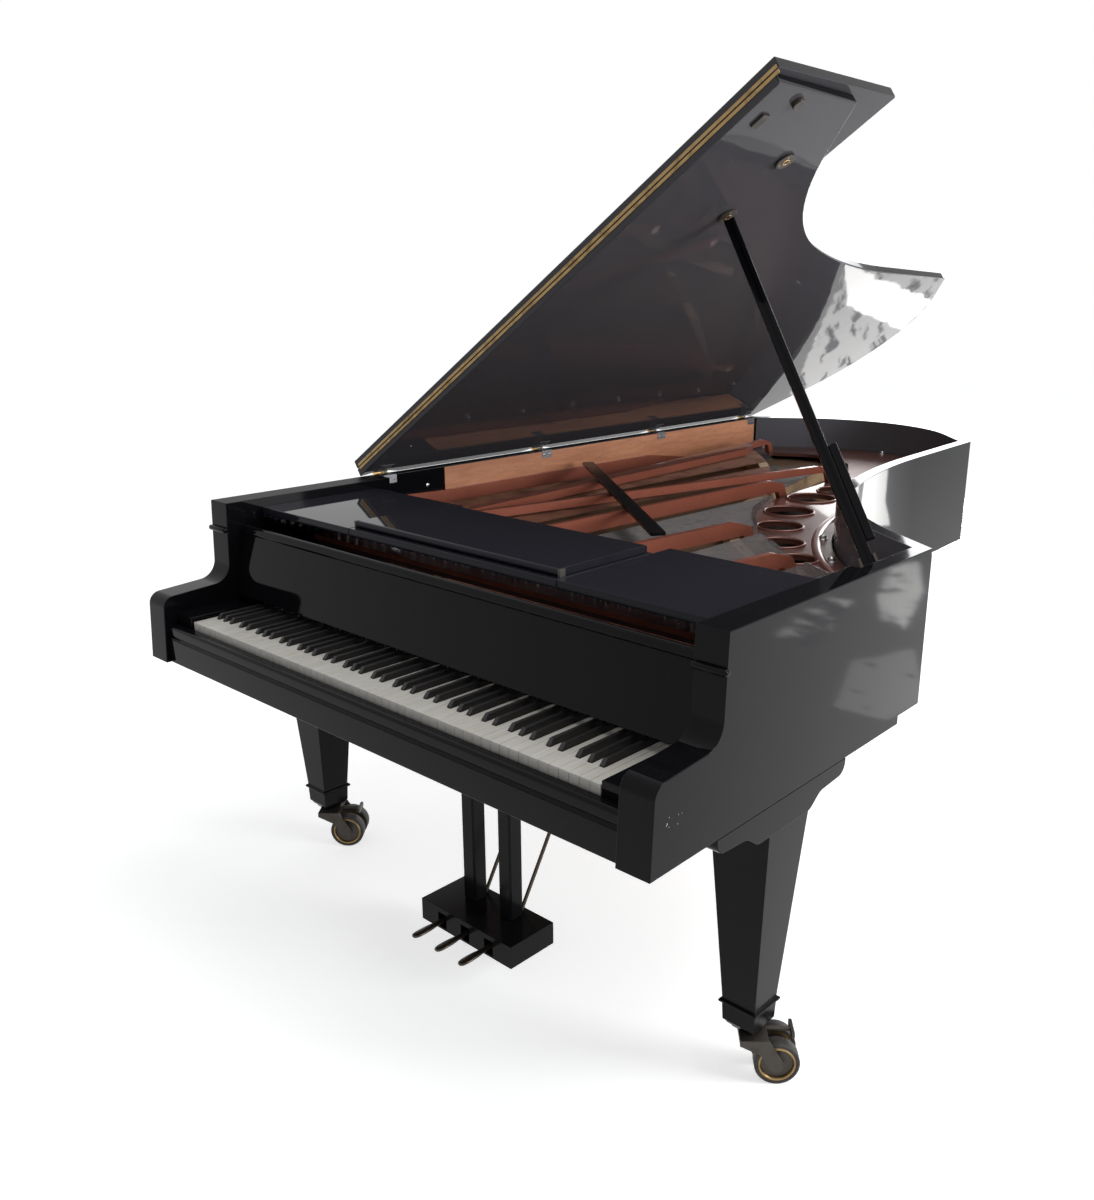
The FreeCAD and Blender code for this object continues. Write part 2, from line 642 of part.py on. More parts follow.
def taut(start, end, z):
    """Return a straight wire of six sides lying with a flat side down."""
    along = end - start
    r = s.string_d / math.sqrt(3)
    turns = [math.radians(60 * k) for k in range(6)]
    ring = [V(0, r * math.cos(a), r * math.sin(a) + s.string_d / 2) for a in turns]
    wire = Part.Face(Part.makePolygon(ring + ring[:1])).extrude(V(along.Length, 0, 0))
    wire.Placement = FreeCAD.Placement(V(start.x, start.y, z), FreeCAD.Rotation(V(1, 0, 0), along))
    return wire


note = 0
for count, first, last, low in SECTIONS:
    for k in range(count):
        x = first + (last - first) * k / (count - 1)
        lean = 0.035 if low else lean_at(x)
        x *= GROWN
        z = s.bass_z if low else s.string_z
        row = s.block_front + 40 + 42 * (note % 3)
        top = s.plate_z + s.plate_t
        start = V(x - lean * (s.block_rear - row), row, 0)
        pins.append(Part.makeBox(6, 6, z + 14 - top, V(start.x - 3, row - 6, top)))
        reach = on_arcs(BASS_BRIDGE if low else TREBLE_BRIDGE, x, lean) + (70 if low else 110)
        end = V(x + lean * (reach - s.block_rear), reach, 0)
        (wound if low else plain).append(taut(start, end, z))
        if note < 68:
            at = x + lean * 52 - 4
            dampers.append(Part.makeBox(8, 34, 15, V(at, s.block_rear + 52, z + s.string_d + s.air)))
        note += 1

node(solids("plain_wires", plain), "treble_strings")
node(solids("wound_wires", wound), "bass_strings")
node(solids("wrest_pins", pins), "tuning_pins")
node(solids("damper_set", dampers), "damper_heads")

# Fallboard, standing open behind the keys

fall = new_body("fall")
lean = math.radians(s.fall_angle)
reach = s.fall_h


def leaned(a, b):
    """Return y, z at a behind the front face and b up along it."""
    return (s.fall_y - 14 + a * math.cos(lean) + b * math.sin(lean),
            s.fall_z - a * math.sin(lean) + b * math.cos(lean))


t = s.fall_t
pad(fall, "fall_panel", "YZ_Plane", outline(
    leaned(0, -14), leaned(t + 4, -14) + (10,), leaned(t + 4, 12) + (10,), leaned(t, 20),
    leaned(t, reach - 24), leaned(t + 3, reach - 20), leaned(t + 3, reach) + (9,),
    leaned(-5, reach) + (9,), leaned(-5, reach - 19) + (6,), leaned(0, reach - 22)),
    "-arm_in + 2", "(arm_in - 2) * 2")
pad(fall, "fall_pins", "YZ_Plane", circle(s.fall_y, s.fall_z, 6), "-arm_in - 8", "(arm_in + 8) * 2")
node(fall, "fallboard")

# Music shelf in two fixed sides, a tray that slides between them and the folded desk

left_edge = "desk_mid - desk_half"
right_edge = "desk_mid + desk_half"
sides = [block("shelf_bass", ("-arm_in", "shelf_front", "shelf_z"),
               (left_edge + " - 1", "shelf_rear", "shelf_z + shelf_t")),
         block("shelf_treble", (right_edge + " + 1", "shelf_front", "shelf_z"),
               ("arm_in", "shelf_rear", "shelf_z + shelf_t")),
         block("runner", ("-arm_in", "shelf_front + 60", "shelf_z - 14"),
               ("arm_in", "shelf_front + 100", "shelf_z")),
         block("runner_rear", ("-arm_in", "shelf_rear - 60", "shelf_z - 14"),
               ("arm_in", "shelf_rear - 20", "shelf_z"))]
shelf = doc.addObject("Part::MultiFuse", "shelf")
shelf.Shapes = sides
node(shelf, "music_shelf")
node(block("tray", (left_edge, "shelf_front", "shelf_z"),
           (right_edge, "shelf_front + desk_deep", "shelf_z + shelf_t")), "desk_tray")
desk = new_body("desk")
desk_z = s.shelf_z + s.shelf_t + 0.5
desk_y = s.shelf_front + 14 + s.desk_t / 2
desk_end = s.desk_half - 10
pad(desk, "desk_panel", "YZ_Plane", outline(
    (desk_y - s.desk_t / 2, desk_z, s.desk_t / 2 - 0.1),
    (s.shelf_front + s.desk_deep - 6, desk_z, 3),
    (s.shelf_front + s.desk_deep - 6, desk_z + s.desk_t, 6),
    (desk_y - s.desk_t / 2, desk_z + s.desk_t, s.desk_t / 2 - 0.1)),
    "desk_mid - desk_half + 10", "desk_half * 2 - 20")
pocket(desk, "desk_bore", "YZ_Plane", circle(desk_y, desk_z + s.desk_t / 2, 3 + s.fit),
       "0", "case_half * 2", through=True)
node(desk, "music_desk")
butts = []
for side in (-1, 1):
    x0 = s.desk_mid + side * (desk_end + s.air)
    lug = Part.makeBox(6, s.desk_t, s.desk_t, V(min(x0, x0 + 6 * side), desk_y - 8, s.shelf_z + s.shelf_t))
    pin = Part.makeCylinder(3, 40, V(x0 + 4 * side, desk_y, desk_z + s.desk_t / 2), V(-side, 0, 0))
    butts.append(lug.fuse(pin))
node(solids("desk_butts", butts), "desk_hinges")

# Lid in two leaves, drawn closed and turned open about the spine

lid_z = s.rim_top + s.lid_gap
pivot = V(-s.hinge_x, 0, lid_z)
lid = new_body("lid")
lid_room = Part.makePlane(4 * s.case_half, 6 * s.case_half, V(-s.case_half, 0, 0))
pad(lid, "lid_panel", "XY_Plane", loops(plan(-s.lid_over, s.lid_y + s.leaf_t).common(lid_room).Faces[0]),
    "rim_top + lid_gap", "lid_t")
turned(lid, "lid_main", pivot, V(0, -1, 0), s.lid_angle)
wide = s.case_half + s.lid_over
flap = new_body("flap")
back = s.lid_y + s.flap_deep
pad(flap, "flap_panel", "XY_Plane", outline(
    (-s.case_half, s.lid_y + s.leaf_t), (wide, s.lid_y + s.leaf_t), (wide, back, 6), (-s.case_half, back, 6)),
    "rim_top + lid_gap + lid_t + 0.8", "flap_t")
turned(flap, "lid_flap", pivot, V(0, -1, 0), s.lid_angle)

for name, z in (("main", "rim_top + lid_gap + lid_t - 8"), ("flap", "rim_top + lid_gap + lid_t + 1.8")):
    leaf = new_body("long_leaf_" + name)
    pad(leaf, "long_strip_" + name, "XY_Plane",
        rectangle(-s.case_half + 3, s.lid_y, wide - 3, s.lid_y + s.leaf_t), z, "7")
    turned(leaf, "long_hinge_%s_leaf" % name, pivot, V(0, -1, 0), s.lid_angle)

hinge_run = spine_end - 45 - 665
BUTTS = [665 + hinge_run * share for share in (0, 0.352, 0.682, 1)]
rim_leaves, lid_leaves = [], []
pin_r = s.hinge_r / 2
for y in BUTTS:
    axis = V(0, 1, 0)
    centre = V(-s.hinge_x, y, lid_z)
    edge = -s.case_half
    top = Part.makeBox(s.rim_t + s.facing_t + 1.5, 44, 1.5, V(edge, y - 22, s.rim_top))
    down = Part.makeBox(1.5, 44, 24, V(edge + s.rim_t + s.facing_t, y - 22, s.rim_top - 22.5))
    tongue = Part.makeBox(s.hinge_x + edge + 1, 22, 1.5, V(-s.hinge_x, y - 22, s.rim_top))
    barrel = Part.makeCylinder(s.hinge_r, 22, centre - axis * 22, axis)
    pin = Part.makeCylinder(pin_r, 44, centre - axis * 22, axis)
    rim_leaves.append(top.multiFuse([down, tongue, barrel, pin]).removeSplitter())
    leaf = Part.makeBox(40, 44, 1.5, V(edge, y - 22, lid_z - 1.5))
    knuckle = Part.makeCylinder(s.hinge_r, 21.7, centre + axis * s.air, axis)
    arm = Part.makeBox(s.hinge_x + edge + 1, 21.7, 1.5, V(-s.hinge_x, y + s.air, lid_z - 1.5))
    bore = Part.makeCylinder(pin_r + s.fit, 46, centre - axis * 23, axis)
    lid_leaves.append(leaf.multiFuse([knuckle, arm]).cut(bore).removeSplitter())
node(solids("rim_butts", rim_leaves), "lid_hinge_rim_leaves")
turned(solids("lid_butts", lid_leaves), "lid_hinge_lid_leaves", pivot, V(0, -1, 0), s.lid_angle)

fittings = [Part.makeCylinder(22, s.cup_t, V(x, y, lid_z - s.cup_t)) for x, y in
            ((s.cup_x, s.cup_y), (s.foot_x - 92, s.cup_y - 19))]
fittings.append(Part.makeCylinder(13, 9, V(s.foot_x + 55, s.lid_y + 105, lid_z - 9)))
fittings.append(Part.makeBox(34, 22, 5, V(s.foot_x - 20, s.lid_y + 44, lid_z - 5)))
turned(solids("cups", fittings), "lid_fittings", pivot, V(0, -1, 0), s.lid_angle)

# Prop: a long stick with a half stick beside its lower part, pinned to a bracket

opened = FreeCAD.Placement(V(0, 0, 0), FreeCAD.Rotation(V(0, -1, 0), s.lid_angle), pivot)
foot = V(s.foot_x, s.foot_y, s.foot_z)
cup = opened.multVec(V(s.cup_x, s.cup_y, lid_z - s.cup_t))
along = cup - foot
folded = V(-0.64, 0.77, 0)
pin_axis = along.cross(folded).normalize()
stance = FreeCAD.Rotation(pin_axis, V(0, 0, 0), V(along).normalize(), "ZXY")
standing = FreeCAD.Placement(V(-s.x_mid, -s.y_mid, 0), FreeCAD.Rotation()) * FreeCAD.Placement(foot, stance)
prop_len = along.Length - 9
w, h = s.prop_w / 2, s.prop_t / 2


def stick(name, label, edges, start, length):
    """Return a stick padded along its own axis, standing on the foot pin."""
    body = new_body(name)
    pad(body, name + "_pad", "XY_Plane", edges, start, length)
    body.Label = label
    body.Placement = standing
    NODES[label] = body
    return body


prop = stick("prop", "prop_stick", outline(
    (-w, -h, 3), (w, -h, 3), (w, h, 3), (3, h), (3, h - 3), (-3, h - 3), (-3, h), (-w, h, 3)),
    "-16", "16 + %g" % prop_len)
pocket(prop, "prop_bore", "YZ_Plane", circle(0, 0, 4 + s.fit), "0", "prop_w * 2", through=True)
beside = w + s.air
stick("prop_half", "prop_half_stick", outline(
    (-beside - 18, -h, 3), (-beside, -h, 3), (-beside, h, 3), (-beside - 18, h, 3)), "42", "half_len")
lugs = []
for side in (-1, 1):
    near = min(side * (w + s.air), side * (w + s.air + 6))
    lugs.append(Part.makeBox(6, 22, 44, V(near, -11, -32)))
lugs.append(Part.makeCylinder(4, s.prop_w + 2 * s.air + 10, V(-w - s.air - 5, 0, 0), V(1, 0, 0)))
lugs.append(Part.makeBox(s.prop_w + 2 * s.air + 12, 22, 12, V(-w - s.air - 6, -11, -32)))
clevis = lugs[0].multiFuse(lugs[1:])
clevis.Placement = FreeCAD.Placement(foot, stance)
shelf_top = s.plate_z + s.plate_t
base = Part.makeBox(34, 70, s.foot_z - 28 - shelf_top, V(s.foot_x - 17, s.foot_y - 41, shelf_top))
node(solids("bracket", [clevis.fuse(base).removeSplitter()]), "prop_bracket")

# Legs, leg blocks and casters

SPOTS = ((s.leg_x, s.leg_y), (-s.leg_x, s.leg_y), (s.rear_x, s.rear_y))


def square(width):
    return rectangle(-width / 2, -width / 2, width / 2, width / 2)


legs = []
for k, (x, y) in enumerate(SPOTS):
    body = new_body("leg_%d" % k)
    beaded = s.leg_w + 11
    loft(body, "leg_sock_%d" % k, [
        (square(s.leg_w - 32), "sock_z"), (square(s.leg_w - 28), "sock_z + 5"),
        (square(s.leg_w - 16), "sock_z + 10"), (square(s.leg_w - 10), "sock_z + 16"),
        (square(s.leg_w - 3), "sock_z + 19"), (square(s.leg_w), "bead_z"),
        (square(beaded), "bead_z + bead_h / 3"), (square(beaded), "bead_z + 2 * bead_h / 3"),
        (square(s.leg_w), "bead_z + bead_h"), (square(s.leg_top_w), "leg_top")])
    pocket(body, "stem_bore_%d" % k, "XY_Plane", circle(0, 0, s.stem_r + s.fit), "sock_z", "30", flip=True)
    body.Placement = FreeCAD.Placement(V(x, y, 0), FreeCAD.Rotation())
    legs.append(body)
node(group("leg_set", legs), "legs")

# each block lies flush with its side of the case, and the treble side leans in towards the corner
blocks = []
side_lean = math.degrees(math.atan((s.case_half - s.corner_x) / (s.corner_y + s.arm_front)))
start = s.leg_x - s.leg_top_w / 2 - 12
for k, (x, lean) in enumerate(((-s.case_half, 0), (start, side_lean))):
    body = new_body("leg_block_%d" % k)
    y = s.leg_y - 22 + s.arm_front
    lobe, waist = s.cheek_bot - 31, s.cheek_bot - 37
    lobes = [(y - 216, s.cheek_bot), (y - 216, lobe, 26), (y - 124, waist, 34), (y - 88, s.leg_top, 26)]
    mirrored = [(2 * y - p[0],) + p[1:] for p in reversed(lobes)]
    turn = FreeCAD.Rotation(V(0, 1, 0), lean)
    pad(body, "leg_block_pad_%d" % k, "YZ_Plane", outline(*lobes, *mirrored), "0",
        "case_half - %g" % start, offset=FreeCAD.Placement(V(-s.arm_front, 0, x), turn))
    blocks.append(body)
tail_block = block("tail_block", ("rear_x - 85", "rear_y - 85", "leg_top"),
                   ("rear_x + 85", "rear_y + 85", "rim_bot + 5"))
node(group("leg_block_set", blocks + [tail_block]), "leg_blocks")

for name, (x, y) in zip(("treble", "bass", "tail"), SPOTS):
    fork = new_body("fork_" + name)
    side = s.wheel_w + s.wheel_gap / 2 + 1
    wall = 5
    crown = s.sock_z - 0.5
    shape = outline((-20, crown - 12), (-20, crown), (36, crown), (s.trail + 10, s.wheel_r + 12),
                    (s.trail + 12, s.wheel_r - 12, 11), (s.trail - 12, s.wheel_r - 12, 11),
                    (s.trail - 34, s.wheel_r + 26))
    pad(fork, "fork_crown_" + name, "XZ_Plane",
        rectangle(-20, crown - 10, 36, crown), "0", str(2 * side + wall), middle=True)
    for k, lead in enumerate((side, -side - wall)):
        pad(fork, "fork_cheek_%s_%d" % (name, k), "XZ_Plane", shape, str(lead), str(wall))
    pad(fork, "fork_axle_" + name, "XZ_Plane", circle(s.trail, s.wheel_r, s.axle_r), "0",
        str(2 * side + wall), middle=True)
    pad(fork, "fork_stem_" + name, "XY_Plane", circle(0, 0, s.stem_r), "sock_z - 6", "34")
    pad(fork, "brake_screw_" + name, "YZ_Plane", circle(0, crown - 5, 4.5), "34", "trail - 4")
    pad(fork, "brake_grip_" + name, "YZ_Plane", outline(
        (-25, crown - 8), (-21, crown - 12), (21, crown - 12), (25, crown - 8), (25, crown - 2),
        (21, crown + 2), (-21, crown + 2), (-25, crown - 2)), "trail + 28", "6")
    turn = FreeCAD.Rotation(V(0, 0, 1), s.caster_angle)
    spot = FreeCAD.Placement(V(x - s.x_mid, y - s.y_mid, 0), turn)
    fork.Label = "caster_fork_" + name
    fork.Placement = spot
    NODES[fork.Label] = fork
    wheel = new_body("wheel_" + name)
    for k, lead in enumerate((s.wheel_gap / 2, -s.wheel_gap / 2 - s.wheel_w)):
        pad(wheel, "tyre_%s_%d" % (name, k), "XZ_Plane", circle(s.trail, s.wheel_r, s.wheel_r)
            + circle(s.trail, s.wheel_r, s.axle_r + s.fit), str(lead), str(s.wheel_w))
    pad(wheel, "hub_" + name, "XZ_Plane", circle(s.trail, s.wheel_r, 14)
        + circle(s.trail, s.wheel_r, s.axle_r + s.fit), "0", str(s.wheel_gap + 2), middle=True)
    wheel.Label = "caster_wheel_" + name
    wheel.Placement = spot
    NODES[wheel.Label] = wheel

# Lyre with three pedals

lyre = new_body("lyre")
pad(lyre, "lyre_plinth", "XY_Plane", outline(
    (s.lyre_x - s.lyre_half, s.lyre_front), (s.lyre_x + s.lyre_half, s.lyre_front),
    (s.lyre_x + s.lyre_half, s.lyre_rear), (s.lyre_x - s.lyre_half, s.lyre_rear)), "lyre_z", "lyre_h")
slots = []
for k in (-1, 0, 1):
    x = s.lyre_x + k * s.pedal_step
    slots += rectangle(x - s.pedal_w / 2 - 3, s.lyre_z + 5, x + s.pedal_w / 2 + 3, s.lyre_z + s.lyre_h - 12)
pocket(lyre, "pedal_slots", "XZ_Plane", slots, "-lyre_front", "lyre_rear - lyre_front - 14")
pocket(lyre, "pedal_bores", "YZ_Plane", circle(s.pedal_y, s.pedal_z + s.pedal_t / 2, 6 + s.fit),
       "lyre_x", "lyre_half * 2 - 40", through=True)
node(lyre, "lyre_box")
posts = [block("post_%d" % k, ("lyre_x + %s - post_w / 2" % at, "post_y", "lyre_z + lyre_h"),
               ("lyre_x + %s + post_w / 2" % at, "post_y + post_w", "cheek_bot"))
         for k, at in enumerate(("post_x", "(-post_x)"))]
node(group("post_pair", posts), "lyre_posts")
for name, k in (("left", -1), ("middle", 0), ("right", 1)):
    x = s.lyre_x + k * s.pedal_step
    body = new_body("pedal_%s_body" % name)
    half = s.pedal_w / 2
    pad(body, "pedal_%s_plan" % name, "XY_Plane", outline(
        (x - half, s.pedal_tip, half - 1), (x + half, s.pedal_tip, half - 1), (x + half, s.pedal_tip + 50, 12),
        (x + half - 5, s.pedal_tip + 76, 12), (x + half - 3, s.pedal_y + 10), (x - half + 3, s.pedal_y + 10),
        (x - half + 5, s.pedal_tip + 76, 12), (x - half, s.pedal_tip + 50, 12)), "pedal_z", "pedal_t")
    pad(body, "pedal_%s_pivot" % name, "YZ_Plane", circle(s.pedal_y, s.pedal_z + s.pedal_t / 2, 6),
        "%g" % (x - half - 12), "%g" % (2 * half + 24))
    node(body, "pedal_" + name)

stays = []
for at in (-s.post_x, s.post_x):
    low = V(s.lyre_x + at, s.lyre_rear - 12, s.lyre_z + s.lyre_h)
    high = V(s.lyre_x + at, s.bed_rear - 35, s.cheek_bot)
    run = high - low
    stays.append(Part.makeCylinder(s.rod_r, run.Length, low, run))
clip = Part.makeBox(3000, 3000, s.cheek_bot - s.lyre_z - s.lyre_h,
                    V(-1500, -500, s.lyre_z + s.lyre_h))
node(solids("stay_rods", [rod.common(clip).Solids[0] for rod in stays]), "lyre_stays")

doc.recompute()

# Checks and export

os.makedirs("parts", exist_ok=True)
for obj in doc.Objects:
    if "Invalid" in obj.State or "Error" in obj.State:
        raise RuntimeError("%s is %s" % (obj.Label, obj.State))
for label, obj in NODES.items():
    if obj.Shape.isNull() or not obj.Shape.isValid():
        raise RuntimeError(label + " has no valid shape")
    obj.Shape.exportStep("parts/%s.step" % label)
print(len(NODES), "sub-parts")
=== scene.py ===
"""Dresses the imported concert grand: finishes, fine parts, studio and camera.

Sizes in the classes are in millimetres of the keyboard plan: x to the treble from the middle of
the keys, y from the fronts of the white keys to the tail, z up from the floor. at() turns such a
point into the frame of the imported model.
"""

import logging
import math
from dataclasses import dataclass
from enum import Enum
from typing import Callable, Iterable, Optional, Sequence, Union

import bmesh
import bpy
from mathutils import Matrix, Vector
from mathutils.bvhtree import BVHTree


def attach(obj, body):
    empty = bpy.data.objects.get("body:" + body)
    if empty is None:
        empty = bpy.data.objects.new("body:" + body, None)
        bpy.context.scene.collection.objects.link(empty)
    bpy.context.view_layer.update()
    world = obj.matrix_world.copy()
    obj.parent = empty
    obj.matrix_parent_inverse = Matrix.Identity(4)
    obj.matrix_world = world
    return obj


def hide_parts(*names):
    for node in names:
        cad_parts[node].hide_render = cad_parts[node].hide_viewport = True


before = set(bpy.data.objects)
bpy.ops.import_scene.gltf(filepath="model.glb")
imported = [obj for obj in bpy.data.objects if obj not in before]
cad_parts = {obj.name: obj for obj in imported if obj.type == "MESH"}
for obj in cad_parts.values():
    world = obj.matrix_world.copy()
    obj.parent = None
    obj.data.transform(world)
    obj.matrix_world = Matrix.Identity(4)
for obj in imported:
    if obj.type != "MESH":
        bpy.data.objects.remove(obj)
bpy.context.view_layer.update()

LOG = logging.getLogger("grand")
Point = Sequence[float]
Colour = tuple[float, float, float]

KEYS_MID = 5.0
KEYS_FRONT = -1338.7
WHITE: Colour = (1.0, 1.0, 1.0)
SKY: Colour = (0.96, 0.98, 1.0)
DAYLIGHT: Colour = (0.98, 0.99, 1.0)


def at(x: float, y: float, z: float) -> Vector:
    """Return a keyboard-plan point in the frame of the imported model.

    Args:
        x: Millimetres to the treble side of the middle of the keys.
        y: Millimetres behind the fronts of the white keys.
        z: Millimetres above the floor.

    Returns:
        The point in metres.
    """
    return Vector(((x + KEYS_MID) / 1000, (y + KEYS_FRONT) / 1000, z / 1000))


class Body(Enum):
    """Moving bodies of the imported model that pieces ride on."""

    CASE = "case"
    LID = "lid"
    FLAP = "flap"
    PROP = "prop"
    HALF_PROP = "half_prop"
    FALLBOARD = "fallboard"
    TRAY = "tray"
    DESK = "desk"
    WHITE = "white_keys"
    BLACK = "black_keys"
    MIDDLE_C = "middle_c"
    DAMPERS = "dampers"


class Slot(Enum):
    """Material slots of the record."""

    LACQUER = "black_lacquer"
    MAPLE = "maple"
    PLATE = "plate_bronze"
    BAR = "bar_black"
    STEEL = "steel"
    COPPER = "copper_wound"
    DAMPER = "damper_black"
    WHITE = "key_white"
    BLACK = "key_black"
    BRASS = "brass"
    BRONZE = "dark_bronze"
    TREAD = "caster_tread"


class Value:
    """A number socket of a node tree that takes part in ordinary arithmetic."""

    def __init__(self, nodes: "Nodes", socket: bpy.types.NodeSocket) -> None:
        """Keep the socket and the tree that it belongs to."""
        self.nodes = nodes
        self.socket = socket

    def _with(self, operation: str, *parts: "Number") -> "Value":
        """Return the result of one Math node."""
        made = self.nodes.node("ShaderNodeMath", {"operation": operation}, dict(enumerate(parts)))
        return self.nodes.value(made)

    def __add__(self, other: "Number") -> "Value":
        """Return self + other."""
        return self._with("ADD", self, other)

    __radd__ = __add__

    def __sub__(self, other: "Number") -> "Value":
        """Return self - other."""
        return self._with("SUBTRACT", self, other)

    def __rsub__(self, other: "Number") -> "Value":
        """Return other - self."""
        return self._with("SUBTRACT", other, self)

    def __mul__(self, other: "Number") -> "Value":
        """Return self * other."""
        return self._with("MULTIPLY", self, other)

    __rmul__ = __mul__

    def __gt__(self, other: "Number") -> "Value":
        """Return 1 where self is greater."""
        return self._with("GREATER_THAN", self, other)

    def __lt__(self, other: "Number") -> "Value":
        """Return 1 where self is less."""
        return self._with("LESS_THAN", self, other)

    def above(self, low: float, high: float) -> "Value":
        """Return a smooth step from 0 at low to 1 at high."""
        made = self.nodes.node("ShaderNodeMapRange", {"interpolation_type": "SMOOTHSTEP"},
                               {"Value": self, "From Min": low, "From Max": high})
        return self.nodes.value(made, "Result")

    def largest(self, other: "Number") -> "Value":
        """Return the greater of two values."""
        return self._with("MAXIMUM", self, other)


Number = Union[float, int, Value]
Feed = Union[float, int, tuple, Value, bpy.types.NodeSocket]


class Nodes:
    """A node tree that is filled from plain values."""

    def __init__(self, tree: bpy.types.NodeTree) -> None:
        """Start with an emptied tree."""
        self.tree = tree
        self.tree.nodes.clear()

    def node(self, kind: str, settings: Optional[dict] = None,
             feeds: Optional[dict] = None) -> bpy.types.Node:
        """Add a node.

        Args:
            kind: The node's type.
            settings: Properties that are set first.
            feeds: Values or links for its sockets, by name or number.

        Returns:
            The node.
        """
        made = self.tree.nodes.new(kind)
        for key, setting in (settings or {}).items():
            setattr(made, key, setting)
        for key, feed in (feeds or {}).items():
            self.feed(made.inputs[key], feed)
        return made

    def feed(self, socket: bpy.types.NodeSocket, feed: Feed) -> None:
        """Link a socket or set its value."""
        if isinstance(feed, Value):
            feed = feed.socket
        if isinstance(feed, bpy.types.NodeSocket):
            self.tree.links.new(feed, socket)
        elif isinstance(feed, tuple) and len(feed) == 3 and socket.type == "RGBA":
            socket.default_value = (*feed, 1.0)
        else:
            socket.default_value = feed

    def value(self, made: bpy.types.Node, output: Union[str, int] = 0) -> Value:
        """Return an output of a node as a number."""
        return Value(self, made.outputs[output])

    def seen(self) -> Value:
        """Return 1 for rays that come from the camera, a mirror or glass."""
        path = self.node("ShaderNodeLightPath")
        camera, glossy, glass = (self.value(path, "Is %s Ray" % kind)
                                 for kind in ("Camera", "Glossy", "Transmission"))
        return camera.largest(glossy).largest(glass)


class Shade(Nodes):
    """One procedural material around a single principled surface."""

    def __init__(self, name: str) -> None:
        """Start an empty material with a surface and an output."""
        self.material = bpy.data.materials.new(name)
        self.material.use_nodes = True
        super().__init__(self.material.node_tree)
        self.surface = self.node("ShaderNodeBsdfPrincipled")
        self.output = self.node("ShaderNodeOutputMaterial", None,
                                {"Surface": self.surface.outputs["BSDF"]})

    def place(self, stretch: Point = (1, 1, 1)) -> bpy.types.NodeSocket:
        """Return object coordinates, with the pattern scaled along each axis."""
        here = self.node("ShaderNodeTexCoord").outputs["Object"]
        made = self.node("ShaderNodeMapping", None, {"Vector": here, "Scale": tuple(stretch)})
        return made.outputs["Vector"]

    def noise(self, scale: float, detail: float = 2.0, rough: float = 0.5,
              stretch: Point = (1, 1, 1), warp: float = 0.0) -> Value:
        """Return a noise from 0 to 1 over the object."""
        made = self.node("ShaderNodeTexNoise", None, {
            "Vector": self.place(stretch), "Scale": scale, "Detail": detail,
            "Roughness": rough, "Distortion": warp})
        return self.value(made, "Fac")

    def axis(self, name: str) -> Value:
        """Return one object coordinate, X, Y or Z, in metres."""
        split = self.node("ShaderNodeSeparateXYZ", None, {"Vector": self.place()})
        return self.value(split, name)

    def blend(self, mask: Number, low: Feed, high: Feed) -> bpy.types.NodeSocket:
        """Return a colour between low and high."""
        made = self.node("ShaderNodeMix", {"data_type": "RGBA"}, {0: mask, 6: low, 7: high})
        return made.outputs[2]

    def bump(self, height: Value, depth: float, strength: float = 1.0,
             over: Optional[bpy.types.NodeSocket] = None) -> bpy.types.NodeSocket:
        """Return a normal bent by a height field of some depth in metres."""
        feeds = {"Height": height, "Distance": depth, "Strength": strength}
        if over is not None:
            feeds["Normal"] = over
        return self.node("ShaderNodeBump", None, feeds).outputs["Normal"]

    def set(self, **feeds: Feed) -> bpy.types.Material:
        """Feed the surface, with _ for spaces in the socket names, and return the material."""
        for key, feed in feeds.items():
            self.feed(self.surface.inputs[key.replace("_", " ")], feed)
        return self.material


class Finish:
    """A surface finish that is made once and then shared."""

    made: dict[str, bpy.types.Material] = {}
    name: str

    def material(self) -> bpy.types.Material:
        """Return the finish's material, building it at first use."""
        if self.name not in Finish.made:
            Finish.made[self.name] = self.build(Shade(self.name))
        return Finish.made[self.name]

    def build(self, shade: Shade) -> bpy.types.Material:
        """Build the material; each finish has its own."""
        raise NotImplementedError


@dataclass(frozen=True)
class Lacquer(Finish):
    """Rubbed black polyester: deep gloss, faint waves, polishing haze, dust and a few nicks."""

    name: str = "black_polish"
    tint: Colour = (0.0045, 0.0045, 0.0058)
    gloss: float = 0.035
    haze: float = 0.07
    wave: float = 0.00035
    nicked: bool = False

    def build(self, shade: Shade) -> bpy.types.Material:
        """Return the lacquer."""
        cloud = shade.noise(2.6, 3.0)
        dust = shade.noise(620.0, 1.0).above(0.70, 0.80)
        swirl = shade.noise(55.0, 3.0, 0.6, (1.0, 1.0, 0.12)).above(0.45, 0.85)
        colour = shade.blend(dust * 0.55, self.tint, (0.030, 0.030, 0.033))
        rough = self.gloss + cloud * self.haze * 0.5 + swirl * self.haze * 0.35 + dust * 0.10
        if self.nicked:
            spot = at(772, 18, 712)
            reach = shade.node("ShaderNodeVectorMath", {"operation": "DISTANCE"},
                               {0: shade.place(), 1: tuple(spot)})
            near = 1 - shade.value(reach, "Value").above(0.015, 0.055)
            specks = shade.noise(120.0, 1.0, 0.5, (1.0, 1.5, 0.8))
            chips = (specks * (0.75 + near * 0.25)).above(0.70, 0.715)
            colour = shade.blend(chips, colour, (0.52, 0.50, 0.47))
            worn = (shade.axis("X") < at(-700, 0, 0).x) * (shade.axis("Z") > 0.9865)
            rough = rough + chips * 0.5 + worn * 0.40
        ripple = shade.bump(shade.noise(5.5, 1.0), self.wave)
        peel = shade.bump(shade.noise(210.0, 2.0), 0.000012, 0.6, ripple)
        return shade.set(Base_Color=colour, Roughness=rough, Normal=peel, IOR=1.18)


